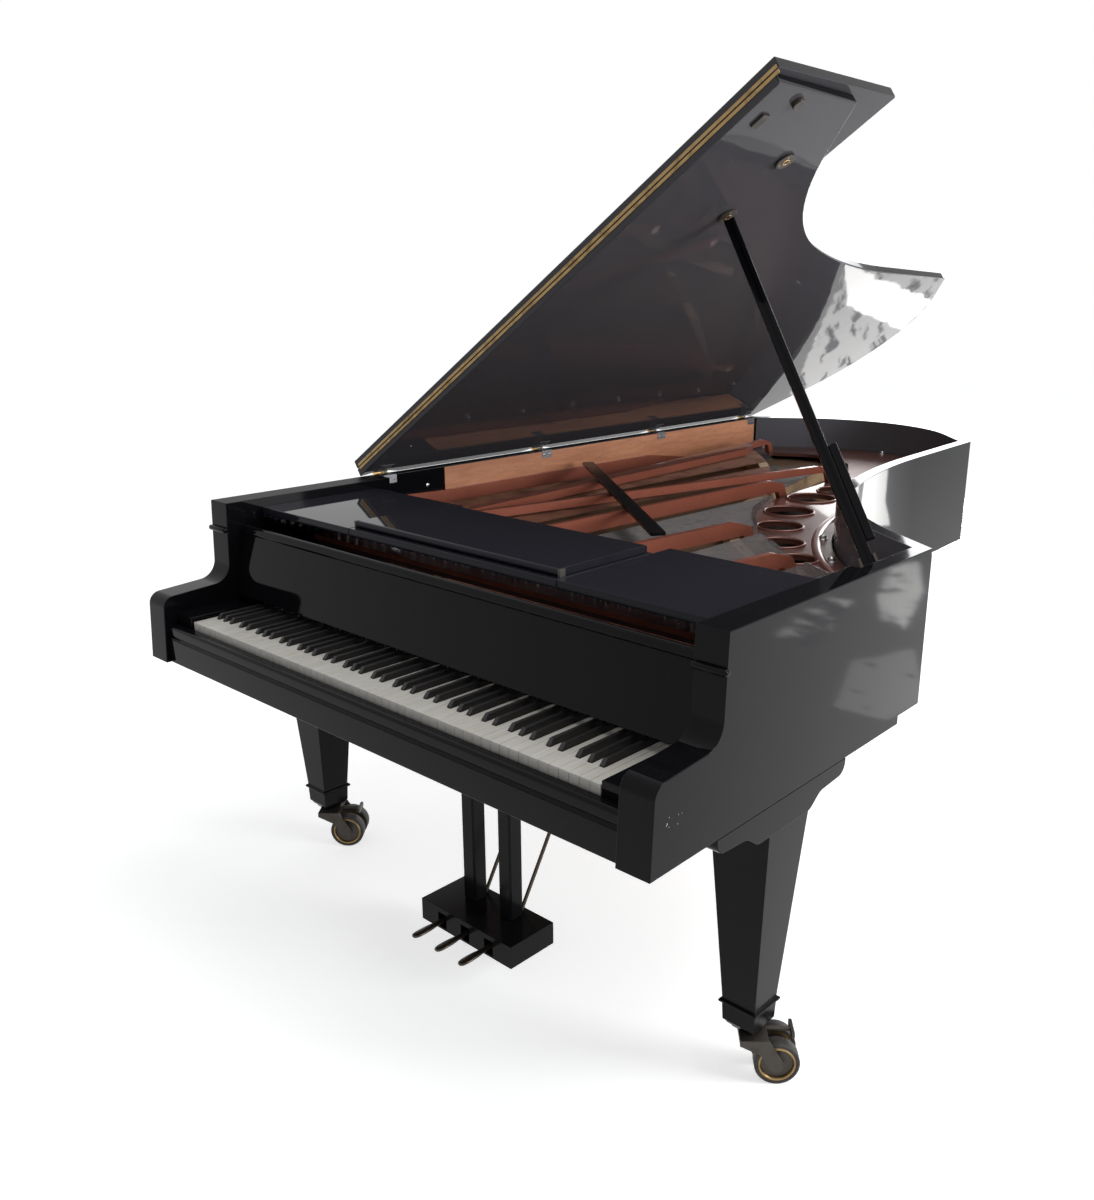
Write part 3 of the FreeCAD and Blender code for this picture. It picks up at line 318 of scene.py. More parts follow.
@dataclass(frozen=True)
class Grain(Finish):
    """Wood with long fibres, pores and darker figure along one axis."""

    name: str
    light: Colour
    dark: Colour
    stretch: Point
    gloss: float
    figure: float = 0.45
    coat: float = 0.0
    shine: float = 0.5

    def build(self, shade: Shade) -> bpy.types.Material:
        """Return the wood."""
        fibre = shade.noise(26.0, 6.0, 0.62, self.stretch, 0.35)
        pores = shade.noise(150.0, 2.0, 0.5, self.stretch).above(0.60, 0.72)
        broad = shade.noise(4.0, 3.0, 0.5, self.stretch, 1.2)
        mask = fibre.above(0.30, 0.72) * (1 - self.figure) + broad.above(0.3, 0.7) * self.figure
        colour = shade.blend(mask, self.dark, self.light)
        colour = shade.blend(pores * 0.45, colour, tuple(c * 0.45 for c in self.dark))
        bump = shade.bump(fibre - pores * 0.4, 0.00012, 0.5)
        return shade.set(Base_Color=colour, Roughness=self.gloss + fibre * 0.12 + pores * 0.15,
                         Normal=bump, Coat_Weight=self.coat, Coat_Roughness=0.06,
                         Specular_IOR_Level=self.shine)


@dataclass(frozen=True)
class CastPaint(Finish):
    """Copper-bronze paint with metal flake on sand-cast iron, under clear varnish."""

    name: str = "plate_paint"
    light: Colour = (0.52, 0.165, 0.100)
    dark: Colour = (0.23, 0.064, 0.042)

    def build(self, shade: Shade) -> bpy.types.Material:
        """Return the paint."""
        flake = shade.noise(1500.0, 1.0, 0.6)
        cloud = shade.noise(7.0, 4.0, 0.55)
        grime = shade.noise(18.0, 5.0, 0.65).above(0.52, 0.80)
        colour = shade.blend(flake.above(0.35, 0.7) * 0.45 + cloud * 0.45, self.dark, self.light)
        colour = shade.blend(grime * 0.35, colour, (0.12, 0.055, 0.03))
        shaded = (1 - shade.axis("Z").above(0.872, 0.892)) * shade.axis("Y").above(-0.78, -0.70)
        colour = shade.blend(shaded * 0.75, colour, (0.055, 0.034, 0.034))
        lumps = shade.bump(shade.noise(24.0, 2.0), 0.0006, 0.35)
        sand = shade.bump(shade.noise(700.0, 2.0), 0.00004, 0.4, lumps)
        return shade.set(Base_Color=colour, Metallic=0.32 + flake * 0.12,
                         Roughness=0.30 + cloud * 0.10 + grime * 0.12, Normal=sand,
                         Coat_Weight=0.55 - shaded * 0.20, Coat_Roughness=0.05, Specular_IOR_Level=0.3)


@dataclass(frozen=True)
class Metal(Finish):
    """Bare or plated metal with tarnish, wiping marks and a little grain."""

    name: str
    light: Colour
    dark: Colour
    gloss: float = 0.22
    metallic: float = 1.0
    tarnish: float = 0.5
    brush: Point = (1.0, 1.0, 1.0)

    def build(self, shade: Shade) -> bpy.types.Material:
        """Return the metal."""
        stain = shade.noise(48.0, 5.0, 0.6).above(0.42, 0.78) * self.tarnish
        marks = shade.noise(420.0, 2.0, 0.5, self.brush)
        colour = shade.blend(stain + marks * 0.12, self.light, self.dark)
        bump = shade.bump(marks, 0.00002, 0.5)
        return shade.set(Base_Color=colour, Metallic=self.metallic, Normal=bump,
                         Roughness=self.gloss + stain * 0.22 + marks * 0.06)


@dataclass(frozen=True)
class Winding(Finish):
    """Copper wire wound tightly on a bass string, seen as fine rings across it."""

    name: str = "copper_winding"
    pitch: float = 0.0016

    def build(self, shade: Shade) -> bpy.types.Material:
        """Return the winding."""
        rings = shade.node("ShaderNodeTexWave", {"wave_type": "BANDS", "bands_direction": "Y"}, {
            "Vector": shade.place(), "Scale": 0.314 / self.pitch, "Distortion": 0.0})
        turn = shade.value(rings, "Fac")
        stain = shade.noise(12.0, 4.0).above(0.35, 0.75)
        colour = shade.blend(stain, (0.26, 0.10, 0.055), (0.13, 0.052, 0.030))
        # Painted shade: the grooves between the turns are darkened.
        colour = shade.blend(1 - turn, colour, (0.05, 0.022, 0.014))
        return shade.set(Base_Color=colour, Metallic=0.8, Roughness=0.45 + stain * 0.15,
                         Normal=shade.bump(turn, 0.0003, 0.7))


@dataclass(frozen=True)
class Felt(Finish):
    """Pressed wool with soft fibres on its surface."""

    name: str
    light: Colour
    dark: Colour

    def build(self, shade: Shade) -> bpy.types.Material:
        """Return the felt."""
        fibre = shade.noise(900.0, 4.0, 0.7)
        patch = shade.noise(30.0, 3.0)
        colour = shade.blend(fibre * 0.6 + patch * 0.4, self.dark, self.light)
        return shade.set(Base_Color=colour, Roughness=0.88 + fibre * 0.1,
                         Normal=shade.bump(fibre, 0.0006, 0.6), Sheen_Weight=0.35)


@dataclass(frozen=True)
class KeyCover(Finish):
    """Ivory-white key tops and fronts on wooden sides, a little yellowed by use."""

    name: str = "key_ivory"
    top: float = 0.738
    cover: float = 0.0032

    def build(self, shade: Shade) -> bpy.types.Material:
        """Return the key finish."""
        veins = shade.noise(60.0, 4.0, 0.6, (1.0, 0.10, 1.0), 0.6)
        worn = shade.noise(16.0, 3.0)
        ivory = shade.blend(veins.above(0.35, 0.75), (0.57, 0.545, 0.50), (0.65, 0.63, 0.595))
        ivory = shade.blend(worn.above(0.5, 0.8) * 0.35, ivory, (0.57, 0.515, 0.43))
        fibre = shade.noise(40.0, 5.0, 0.6, (1.0, 0.06, 1.0))
        wood = shade.blend(fibre, (0.20, 0.085, 0.05), (0.36, 0.19, 0.115))
        high = shade.axis("Z") > (self.top - self.cover)
        front = shade.axis("Y") < (KEYS_FRONT / 1000 + 0.0012)
        covered = high.largest(front)
        bump = shade.bump(veins, 0.00003, 0.4)
        return shade.set(Base_Color=shade.blend(covered, wood, ivory), Normal=bump,
                         Roughness=0.62 - covered * 0.34 + veins * 0.06)


@dataclass(frozen=True)
class Ebony(Finish):
    """Stained hardwood of the black keys, polished by fingers."""

    name: str = "key_ebony"

    def build(self, shade: Shade) -> bpy.types.Material:
        """Return the black key finish."""
        fibre = shade.noise(70.0, 5.0, 0.65, (1.0, 0.07, 1.0))
        rub = shade.noise(20.0, 3.0)
        colour = shade.blend(fibre, (0.006, 0.0055, 0.006), (0.017, 0.0155, 0.0155))
        return shade.set(Base_Color=colour, Roughness=0.30 + rub * 0.18 + fibre * 0.06,
                         Normal=shade.bump(fibre, 0.00005, 0.5), IOR=1.42)


@dataclass(frozen=True)
class HammerSet(Finish):
    """White felt heads on maple shanks, told apart along the shank."""

    name: str = "hammer_set"
    head_y: float = (480 + 128 + KEYS_FRONT) / 1000

    def build(self, shade: Shade) -> bpy.types.Material:
        """Return the hammer finish."""
        fibre = shade.noise(800.0, 4.0, 0.7)
        grain = shade.noise(60.0, 4.0, 0.6, (1.0, 0.08, 1.0))
        felt = shade.blend(fibre, (0.70, 0.68, 0.61), (0.84, 0.82, 0.76))
        wood = shade.blend(grain, (0.44, 0.28, 0.15), (0.62, 0.44, 0.27))
        head = shade.axis("Y") > self.head_y
        return shade.set(Base_Color=shade.blend(head, wood, felt), Roughness=0.5 + head * 0.4,
                         Normal=shade.bump(fibre, 0.0003, 0.4))


BLACK = Lacquer()
CASE_BLACK = Lacquer("case_polish", nicked=True)
# Painted light: a grey lacquer for the lid's lower faces, lighter than the black of its upper faces, for
# the glare under the open lid.
LID_UNDERSIDE_LIT = Lacquer("lid_underside_painted_light", tint=(0.070, 0.067, 0.074), gloss=0.02, haze=0.03, wave=0.0006)
SHELF_BLACK = Lacquer("shelf_polish", tint=(0.018, 0.018, 0.024), gloss=0.03, haze=0.05)
# Painted light: a grey lacquer for the rim's inner walls that stands in for the glare inside the case.
INSIDE_LIT = Lacquer("inside_painted_light", tint=(0.13, 0.13, 0.145), gloss=0.10, haze=0.10)
SATIN_BLACK = Lacquer("satin_black", tint=(0.0060, 0.0060, 0.0070), gloss=0.16, haze=0.14, wave=0.0002)
BAR_BLACK = Lacquer("bar_paint", tint=(0.006, 0.006, 0.0066), gloss=0.20, haze=0.15, wave=0.0001)
VENEER = Grain("spine_wood", (0.66, 0.30, 0.165), (0.44, 0.175, 0.090), (8.0, 0.35, 3.2), 0.30, 0.5, 0.4)
MAPLE = Grain("maple_wood", (0.62, 0.44, 0.27), (0.42, 0.27, 0.145), (2.0, 0.20, 2.0), 0.45)
# Painted shade: the maple pin block is made a near-black red-brown for the shade it lies in under the
# shelf.
BLOCK_SHADE = Grain("block_painted_shade", (0.060, 0.018, 0.014), (0.026, 0.010, 0.009), (0.25, 0.8, 2.0), 0.45)
BEECH = Grain("beech_wood", (0.50, 0.33, 0.20), (0.34, 0.20, 0.11), (0.25, 0.8, 2.0), 0.50)
SPRUCE = Grain("spruce_board", (0.20, 0.125, 0.075), (0.11, 0.066, 0.040), (1.6, 0.16, 1.0), 0.55,
               figure=0.3, shine=0.15)
PLATE = CastPaint()
BRASS = Metal("hinge_brass", (0.30, 0.205, 0.095), (0.13, 0.085, 0.04), 0.34, tarnish=0.8)
BRIGHT_BRASS = Metal("stud_brass", (0.70, 0.47, 0.19), (0.36, 0.22, 0.08), 0.24)
AGED_BRASS = Metal("aged_brass", (0.50, 0.34, 0.155), (0.17, 0.11, 0.05), 0.34, tarnish=0.8)
GREY_STEEL = Metal("hinge_steel", (0.34, 0.34, 0.36), (0.17, 0.17, 0.18), 0.34)
STEEL = Metal("screw_steel", (0.60, 0.60, 0.61), (0.32, 0.31, 0.30), 0.24)
WIRE = Metal("music_wire", (0.115, 0.105, 0.105), (0.055, 0.050, 0.050), 0.42, brush=(1.0, 0.03, 1.0))
PIN_STEEL = Metal("pin_steel", (0.42, 0.42, 0.44), (0.16, 0.16, 0.17), 0.30)
PEDAL_METAL = Metal("pedal_bronze", (0.085, 0.070, 0.055), (0.035, 0.030, 0.026), 0.30, 0.85)
FORK_METAL = Metal("caster_bronze", (0.060, 0.052, 0.044), (0.022, 0.019, 0.017), 0.42, 0.55)
TREAD = Metal("caster_tyre", (0.030, 0.027, 0.025), (0.012, 0.011, 0.010), 0.55, 0.15)
COPPER = Winding()
RED_FELT = Felt("red_felt", (0.24, 0.026, 0.022), (0.10, 0.010, 0.010))
WHITE_FELT = Felt("white_felt", (0.72, 0.70, 0.64), (0.52, 0.50, 0.45))
# Painted shade: a near-black finish for the block that stands for a screw's slot.
SLOT_SHADE = Felt("slot_painted_shade", (0.030, 0.029, 0.028), (0.012, 0.012, 0.012))
IVORY = KeyCover()
EBONY = Ebony()
HAMMERS = HammerSet()


def unique(items: Iterable) -> list:
    """Return items in the order of their first coming, each once."""
    return list(dict.fromkeys(items))


class Shaper:
    """A mesh under construction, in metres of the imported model's frame."""

    def __init__(self) -> None:
        """Start with nothing."""
        self.bm = bmesh.new()
        self.finishes: list[Finish] = []
        self.softened = False

    @classmethod
    def of(cls, node: str) -> "Shaper":
        """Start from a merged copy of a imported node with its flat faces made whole.

        Args:
            node: The node's name.

        Returns:
            The shaper that holds the copy.
        """
        shaper = cls()
        shaper.bm.from_mesh(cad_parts[node].data)
        bmesh.ops.remove_doubles(shaper.bm, verts=shaper.bm.verts, dist=2e-6)
        bmesh.ops.dissolve_limit(shaper.bm, angle_limit=math.radians(0.4), verts=shaper.bm.verts,
                                 edges=shaper.bm.edges, use_dissolve_boundaries=False)
        return shaper

    def soften(self, width: float, segments: int = 2, angle: float = 32.0,
               only: Optional[Callable[[bmesh.types.BMEdge], bool]] = None) -> "Shaper":
        """Round the sharp edges.

        Args:
            width: Width of the rounding in millimetres.
            segments: Faces across it.
            angle: Edges that turn more than this many degrees are rounded.
            only: A test that picks edges among those.

        Returns:
            The shaper itself.
        """
        limit = math.radians(angle)
        edges = [e for e in self.bm.edges if len(e.link_faces) == 2 and e.calc_face_angle(0.0) > limit
                 and (only is None or only(e))]
        self._round(edges, width, segments)
        self.softened = True
        return self

    def _round(self, edges: list[bmesh.types.BMEdge], width: float, segments: int) -> None:
        """Bevel some edges to a round of a width in millimetres."""
        bmesh.ops.bevel(self.bm, geom=edges, offset=width / 1000, offset_type="OFFSET", material=-1,
                        segments=segments, profile=0.5, affect="EDGES", clamp_overlap=True)

    def islands(self) -> list[list[bmesh.types.BMVert]]:
        """Return the vertices of each separate solid."""
        left = set(self.bm.verts)
        result = []
        for first in self.bm.verts:
            if first not in left:
                continue
            left.discard(first)
            edge = [first]
            found = []
            while edge:
                vert = edge.pop()
                found.append(vert)
                for link in vert.link_edges:
                    other = link.other_vert(vert)
                    if other in left:
                        left.discard(other)
                        edge.append(other)
            result.append(found)
        return result

    def middles(self) -> list[float]:
        """Return the middle of each separate solid along y."""
        return [sum(v.co.y for v in island) / len(island) for island in self.islands()]

    def paint(self, faces: Iterable[bmesh.types.BMFace], finish: Finish) -> None:
        """Give some faces a finish."""
        if finish not in self.finishes:
            self.finishes.append(finish)
        index = self.finishes.index(finish)
        for face in faces:
            face.material_index = index

    def _new(self, before: set) -> list[bmesh.types.BMFace]:
        """Return the faces that are not in an earlier set."""
        return [f for f in self.bm.faces if f not in before]

    def box(self, low: Vector, high: Vector, finish: Finish, round_by: float = 0.0,
            segments: int = 2) -> "Shaper":
        """Add a box, with rounded edges if asked.

        Args:
            low: Lowest corner.
            high: Highest corner.
            finish: Its finish.
            round_by: Rounding in millimetres.
            segments: Faces across the rounding.

        Returns:
            The shaper itself.
        """
        before = set(self.bm.faces)
        size = high - low
        place = Matrix.Translation((low + high) / 2) @ Matrix.Diagonal((*size, 1.0))
        made = bmesh.ops.create_cube(self.bm, size=1.0, matrix=place)
        if round_by:
            self._round(unique(e for v in made["verts"] for e in v.link_edges), round_by, segments)
        self.paint(self._new(before), finish)
        return self

    def rod(self, start: Vector, end: Vector, radius: float, finish: Finish, sides: int = 12,
            tip: Optional[float] = None) -> "Shaper":
        """Add a round rod or cone.

        Args:
            start: Middle of its first end.
            end: Middle of its other end.
            radius: Radius in millimetres.
            finish: Its finish.
            sides: Faces round it.
            tip: Radius at the other end, if it differs.

        Returns:
            The shaper itself.
        """
        before = set(self.bm.faces)
        along = end - start
        turn = along.to_track_quat("Z", "Y").to_matrix().to_4x4()
        place = Matrix.Translation((start + end) / 2) @ turn
        far = radius if tip is None else tip
        bmesh.ops.create_cone(self.bm, cap_ends=True, cap_tris=False, segments=sides, matrix=place,
                              radius1=radius / 1000, radius2=far / 1000, depth=along.length)
        self.paint(self._new(before), finish)
        return self

    def turned(self, profile: Sequence[tuple[float, float]], place: Matrix, finish: Finish,
               steps: int = 32, closed: bool = False) -> "Shaper":
        """Add a turned shape.

        Args:
            profile: Radius and height in millimetres, from one end to the other.
            place: Where its axis (local Z) stands.
            finish: Its finish.
            steps: Faces round it.
            closed: Whether the profile is a ring.

        Returns:
            The shaper itself.
        """
        before = set(self.bm.faces)
        verts = [self.bm.verts.new((r / 1000, 0.0, h / 1000)) for r, h in profile]
        pairs = list(zip(verts, verts[1:])) + ([(verts[-1], verts[0])] if closed else [])
        edges = [self.bm.edges.new(pair) for pair in pairs]
        bmesh.ops.spin(self.bm, geom=verts + edges, cent=(0, 0, 0), axis=(0, 0, 1), dvec=(0, 0, 0),
                       angle=2 * math.pi, steps=steps, use_merge=True, use_duplicate=False)
        body = unique(v for f in self._new(before) for v in f.verts)
        bmesh.ops.remove_doubles(self.bm, verts=body, dist=1e-6)
        faces = self._new(before)
        bmesh.ops.transform(self.bm, matrix=place, verts=unique(v for f in faces for v in f.verts))
        bmesh.ops.recalc_face_normals(self.bm, faces=faces)
        self.paint(faces, finish)
        return self

    def screw(self, place: Matrix, radius: float, finish: Finish) -> "Shaper":
        """Add a slotted screw head that stands along local Z.

        Args:
            place: Where the head sits.
            radius: Radius in millimetres.
            finish: Its finish.

        Returns:
            The shaper itself.
        """
        r = radius
        dome = [(0, 0.30 * r), (0.45 * r, 0.27 * r), (0.85 * r, 0.12 * r), (r, 0), (r, -0.2 * r)]
        self.turned(dome, place, finish, 16)
        before = set(self.bm.faces)
        size = Matrix.Diagonal((1.6 * r / 1000, 0.22 * r / 1000, 0.12 * r / 1000, 1.0))
        slit = place @ Matrix.Translation((0, 0, 0.25 * r / 1000)) @ size
        # Painted shade: a near-black block in the head stands for the slot.
        bmesh.ops.create_cube(self.bm, size=1.0, matrix=slit)
        self.paint(self._new(before), SLOT_SHADE)
        return self

    def lofted(self, stations: Sequence[tuple[Vector, float, float]], finish: Finish,
               sides: int = 16) -> "Shaper":
        """Add a closed form through ovals that face along Y.

        Args:
            stations: Middle, half width and half height (millimetres) of each oval.
            finish: Its finish.
            sides: Points round each oval.

        Returns:
            The shaper itself.
        """
        before = set(self.bm.faces)
        rings = []
        face_y = Matrix.Rotation(math.pi / 2, 4, "X")
        for middle, wide, high in stations:
            oval = Matrix.Diagonal((wide / 1000, 1.0, high / 1000, 1.0)) @ face_y
            made = bmesh.ops.create_circle(self.bm, cap_ends=False, radius=1.0, segments=sides,
                                           matrix=Matrix.Translation(middle) @ oval)
            rings.append(unique(e for v in made["verts"] for e in v.link_edges))
        for near, far in zip(rings, rings[1:]):
            bmesh.ops.bridge_loops(self.bm, edges=near + far)
        for ring in (rings[0], rings[-1]):
            bmesh.ops.contextual_create(self.bm, geom=ring)
        faces = self._new(before)
        bmesh.ops.recalc_face_normals(self.bm, faces=faces)
        self.paint(faces, finish)
        return self

    def done(self, name: str, body: Body | str, slot: Slot, finish: Optional[Finish] = None,
             replaces: Sequence[str] = (), smooth: float = 38.0) -> bpy.types.Object:
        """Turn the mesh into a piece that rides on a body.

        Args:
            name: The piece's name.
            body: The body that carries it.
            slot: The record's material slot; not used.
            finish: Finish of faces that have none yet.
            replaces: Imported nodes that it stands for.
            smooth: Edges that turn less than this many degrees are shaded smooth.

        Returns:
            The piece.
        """
        if finish is not None and not self.finishes:
            self.finishes.append(finish)
        mesh = bpy.data.meshes.new(name)
        self.bm.to_mesh(mesh)
        self.bm.free()
        for each in self.finishes:
            mesh.materials.append(each.material())
        mesh.shade_smooth()
        mesh.set_sharp_from_angle(angle=math.radians(smooth))
        piece = bpy.data.objects.new(name, mesh)
        bpy.context.scene.collection.objects.link(piece)
        if self.softened:
            flat = piece.modifiers.new("flat_faces", "WEIGHTED_NORMAL")
            flat.keep_sharp = True
        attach(piece, body.value if isinstance(body, Body) else body)
        if replaces:
            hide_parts(*replaces)
        LOG.info("%s: %d faces on %s", name, len(mesh.polygons), body)
        return piece


def clad(node: str, name: str, body: Body | str, slot: Slot, finish: Finish, *rounding: float) -> None:
    """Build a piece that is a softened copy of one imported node.

    Args:
        node: The node that it stands for.
        name: The piece's name.
        body: The body that carries it.
        slot: The record's material slot.
        finish: Its finish.
        rounding: Width, segments and angle, as Shaper.soften takes them.
    """
    Shaper.of(node).soften(*rounding).done(name, body, slot, finish, [node])


def dress(node: str, finish: Finish) -> None:
    """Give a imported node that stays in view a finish."""
    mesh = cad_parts[node].data
    mesh.materials.clear()
    mesh.materials.append(finish.material())


def swept(name: str, points: Sequence[Vector], radius: float, flat: float = 1.0) -> bpy.types.Mesh:
    """Return a round strand along a smooth line.

    Args:
        name: Name of the mesh.
        points: Control points of the line.
        radius: Radius in millimetres.
        flat: Height of the strand as a share of its width.

    Returns:
        The mesh.
    """
    curve = bpy.data.curves.new(name, "CURVE")
    curve.dimensions = "3D"
    curve.bevel_depth = radius / 1000
    curve.bevel_resolution = 4
    curve.use_fill_caps = True
    curve.resolution_u = 10
    spline = curve.splines.new("NURBS")
    spline.points.add(len(points) - 1)
    for spot, point in zip(spline.points, points):
        spot.co = (*point, 1.0)
    spline.order_u = 3
    spline.use_endpoint_u = True
    holder = bpy.data.objects.new(name + "_line", curve)
    mesh = bpy.data.meshes.new_from_object(holder)
    bpy.data.objects.remove(holder)
    bpy.data.curves.remove(curve)
    level = points[0].z
    if flat != 1.0:
        for vert in mesh.vertices:
            vert.co.z = level + (vert.co.z - level) * flat
    return mesh


class Assembly:
    """A part of the instrument that is built and then dressed."""

    def build(self) -> None:
        """Build the pieces."""

    def dress(self) -> None:
        """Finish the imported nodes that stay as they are."""


@dataclass
class CaseWork(Assembly):
    """Rim, keybed, shelf, desk and the small furniture on them."""

    arm_in: float = 702.0
    case_half: float = 772.0
    bead_z: float = 922.0
    arm_y: float = 143.5
    rim_in: float = 735.0
    edge: float = 1.6
    inside_from: float = 700.0
    inside_mid: tuple = (-350.0, 1900.0)
    screw_spots: tuple = ((647, 946), (799, 942))
    screw_r: float = 6.4

    def build(self) -> None:
        """Build the lacquered case and its trim."""
        rim = Shaper.of("case_rim").soften(self.edge, 3)
        rim.paint(list(rim.bm.faces), CASE_BLACK)
        # Painted light: the inner walls behind the arms get the lighter grey lacquer.
        rim.paint(self.inner_faces(rim), INSIDE_LIT)
        rim.done("rim", Body.CASE, Slot.LACQUER, replaces=["case_rim"])
        for node in ("keybed", "key_slip", "key_blocks", "leg_blocks"):
            clad(node, node + "_polished", Body.CASE, Slot.LACQUER, BLACK, self.edge, 2)
        clad("music_shelf", "shelf", Body.CASE, Slot.LACQUER, SHELF_BLACK, 2.2, 3)
        clad("desk_tray", "tray", Body.TRAY, Slot.LACQUER, SHELF_BLACK, 2.2, 3)
        clad("music_desk", "desk", Body.DESK, Slot.LACQUER, SHELF_BLACK, 1.2, 2)
        clad("desk_hinges", "desk_pivots", Body.TRAY, Slot.BRASS, FORK_METAL, 0.5, 2)
        self.beads()
        self.screws()

    def inner_faces(self, rim: Shaper) -> list[bmesh.types.BMFace]:
        """Return the rim's upright faces that look into the case behind the arms.

        Args:
            rim: The rim's mesh.

        Returns:
            The faces found.
        """
        found = []
        middle = at(*self.inside_mid, 0)
        for face in rim.bm.faces:
            spot = face.calc_center_median()
            ahead = min(spot.y, middle.y) - spot.y
            inward = face.normal.x * (middle.x - spot.x) + face.normal.y * ahead > 0.02
            if spot.y > at(0, self.inside_from, 0).y and inward and face.normal.x < 0.9:
                found.append(face)
        return found

    def beads(self) -> None:
        """Build the half-round beads across the fronts of the two arms."""
        shaper = Shaper()
        for side in (-1, 1):
            x0, x1 = sorted((side * self.arm_in, side * (self.case_half + 1.5)))
            low, high = at(x0, self.arm_y - 9, self.bead_z - 7), at(x1, self.arm_y + 6, self.bead_z + 6)
            shaper.box(low, high, BLACK, 5.5, 4)
        shaper.done("arm_beads", Body.CASE, Slot.LACQUER)

    def screws(self) -> None:
        """Build the two bright screws in the black front of the spine's inner face."""
        shaper = Shaper()
        for y, z in self.screw_spots:
            place = Matrix.Translation(at(-self.rim_in, y, z)) @ Matrix.Rotation(math.pi / 2, 4, "Y")
            shaper.screw(place, self.screw_r, STEEL)
        shaper.done("spine_screws", Body.CASE, Slot.STEEL)

    def dress(self) -> None:
        """Finish the nodes that stay as they are."""
        dress("spine_facing", VENEER)
        for node in ("inner_rim", "belly_rail", "rim_braces"):
            dress(node, BEECH)
        for node in ("soundboard", "soundboard_ribs"):
            dress(node, SPRUCE)


@dataclass
class Keyboard(Assembly):
    """White and black keys, the fallboard behind them and the action below."""

    key_top: float = 738.0
    taper: float = 0.9
    sharp_w: float = 11.0
    keys_half: float = 634.0
    rail_half: float = 700.0

    def build(self) -> None:
        """Build the keys and the fallboard."""
        for node, body in (("white_keys", Body.WHITE), ("middle_c_key", Body.MIDDLE_C)):
            clad(node, node + "_tops", body, Slot.WHITE, IVORY, 0.8, 2)
        self.sharps()
        clad("fallboard", "fall", Body.FALLBOARD, Slot.LACQUER, BLACK, 1.2, 2)
        self.key_felt()

    def sharps(self) -> None:
        """Build the black keys with sides that lean in and rounded tops."""
        shaper = Shaper.of("black_keys")
        level = (self.key_top + 4) / 1000
        for island in shaper.islands():
            middle = sum(v.co.x for v in island) / len(island)
            for vert in island:
                if vert.co.z > level:
                    vert.co.x = middle + (vert.co.x - middle) * (1 - 2 * self.taper / self.sharp_w)
        shaper.soften(1.3, 3).done("sharps", Body.BLACK, Slot.BLACK, EBONY, ["black_keys"])

    def key_felt(self) -> None:
        """Build the red felt strip behind the keys, under the fallboard."""
        shaper = Shaper()
        keys, rail, top = self.keys_half, self.rail_half, self.key_top
        shaper.box(at(-keys, 200, top + 1.2), at(keys, 214, top + 7), RED_FELT, 1.2)
        for x0, x1, high in ((-keys, keys, 16), (-rail, -keys, 12), (keys, rail, 12)):
            shaper.box(at(x0, 196, top + 7), at(x1, 218, top + high), BLACK, 1.0)
        shaper.done("name_rail", Body.CASE, Slot.LACQUER)

    def dress(self) -> None:
        """Finish the action, which stays as packed."""
        for node in ("keyframe", "action_frame", "white_key_wippens", "black_key_wippens",
                     "middle_c_wippen"):
            dress(node, MAPLE)
        for node in ("white_key_hammers", "black_key_hammers", "middle_c_hammer"):
            dress(node, HAMMERS)


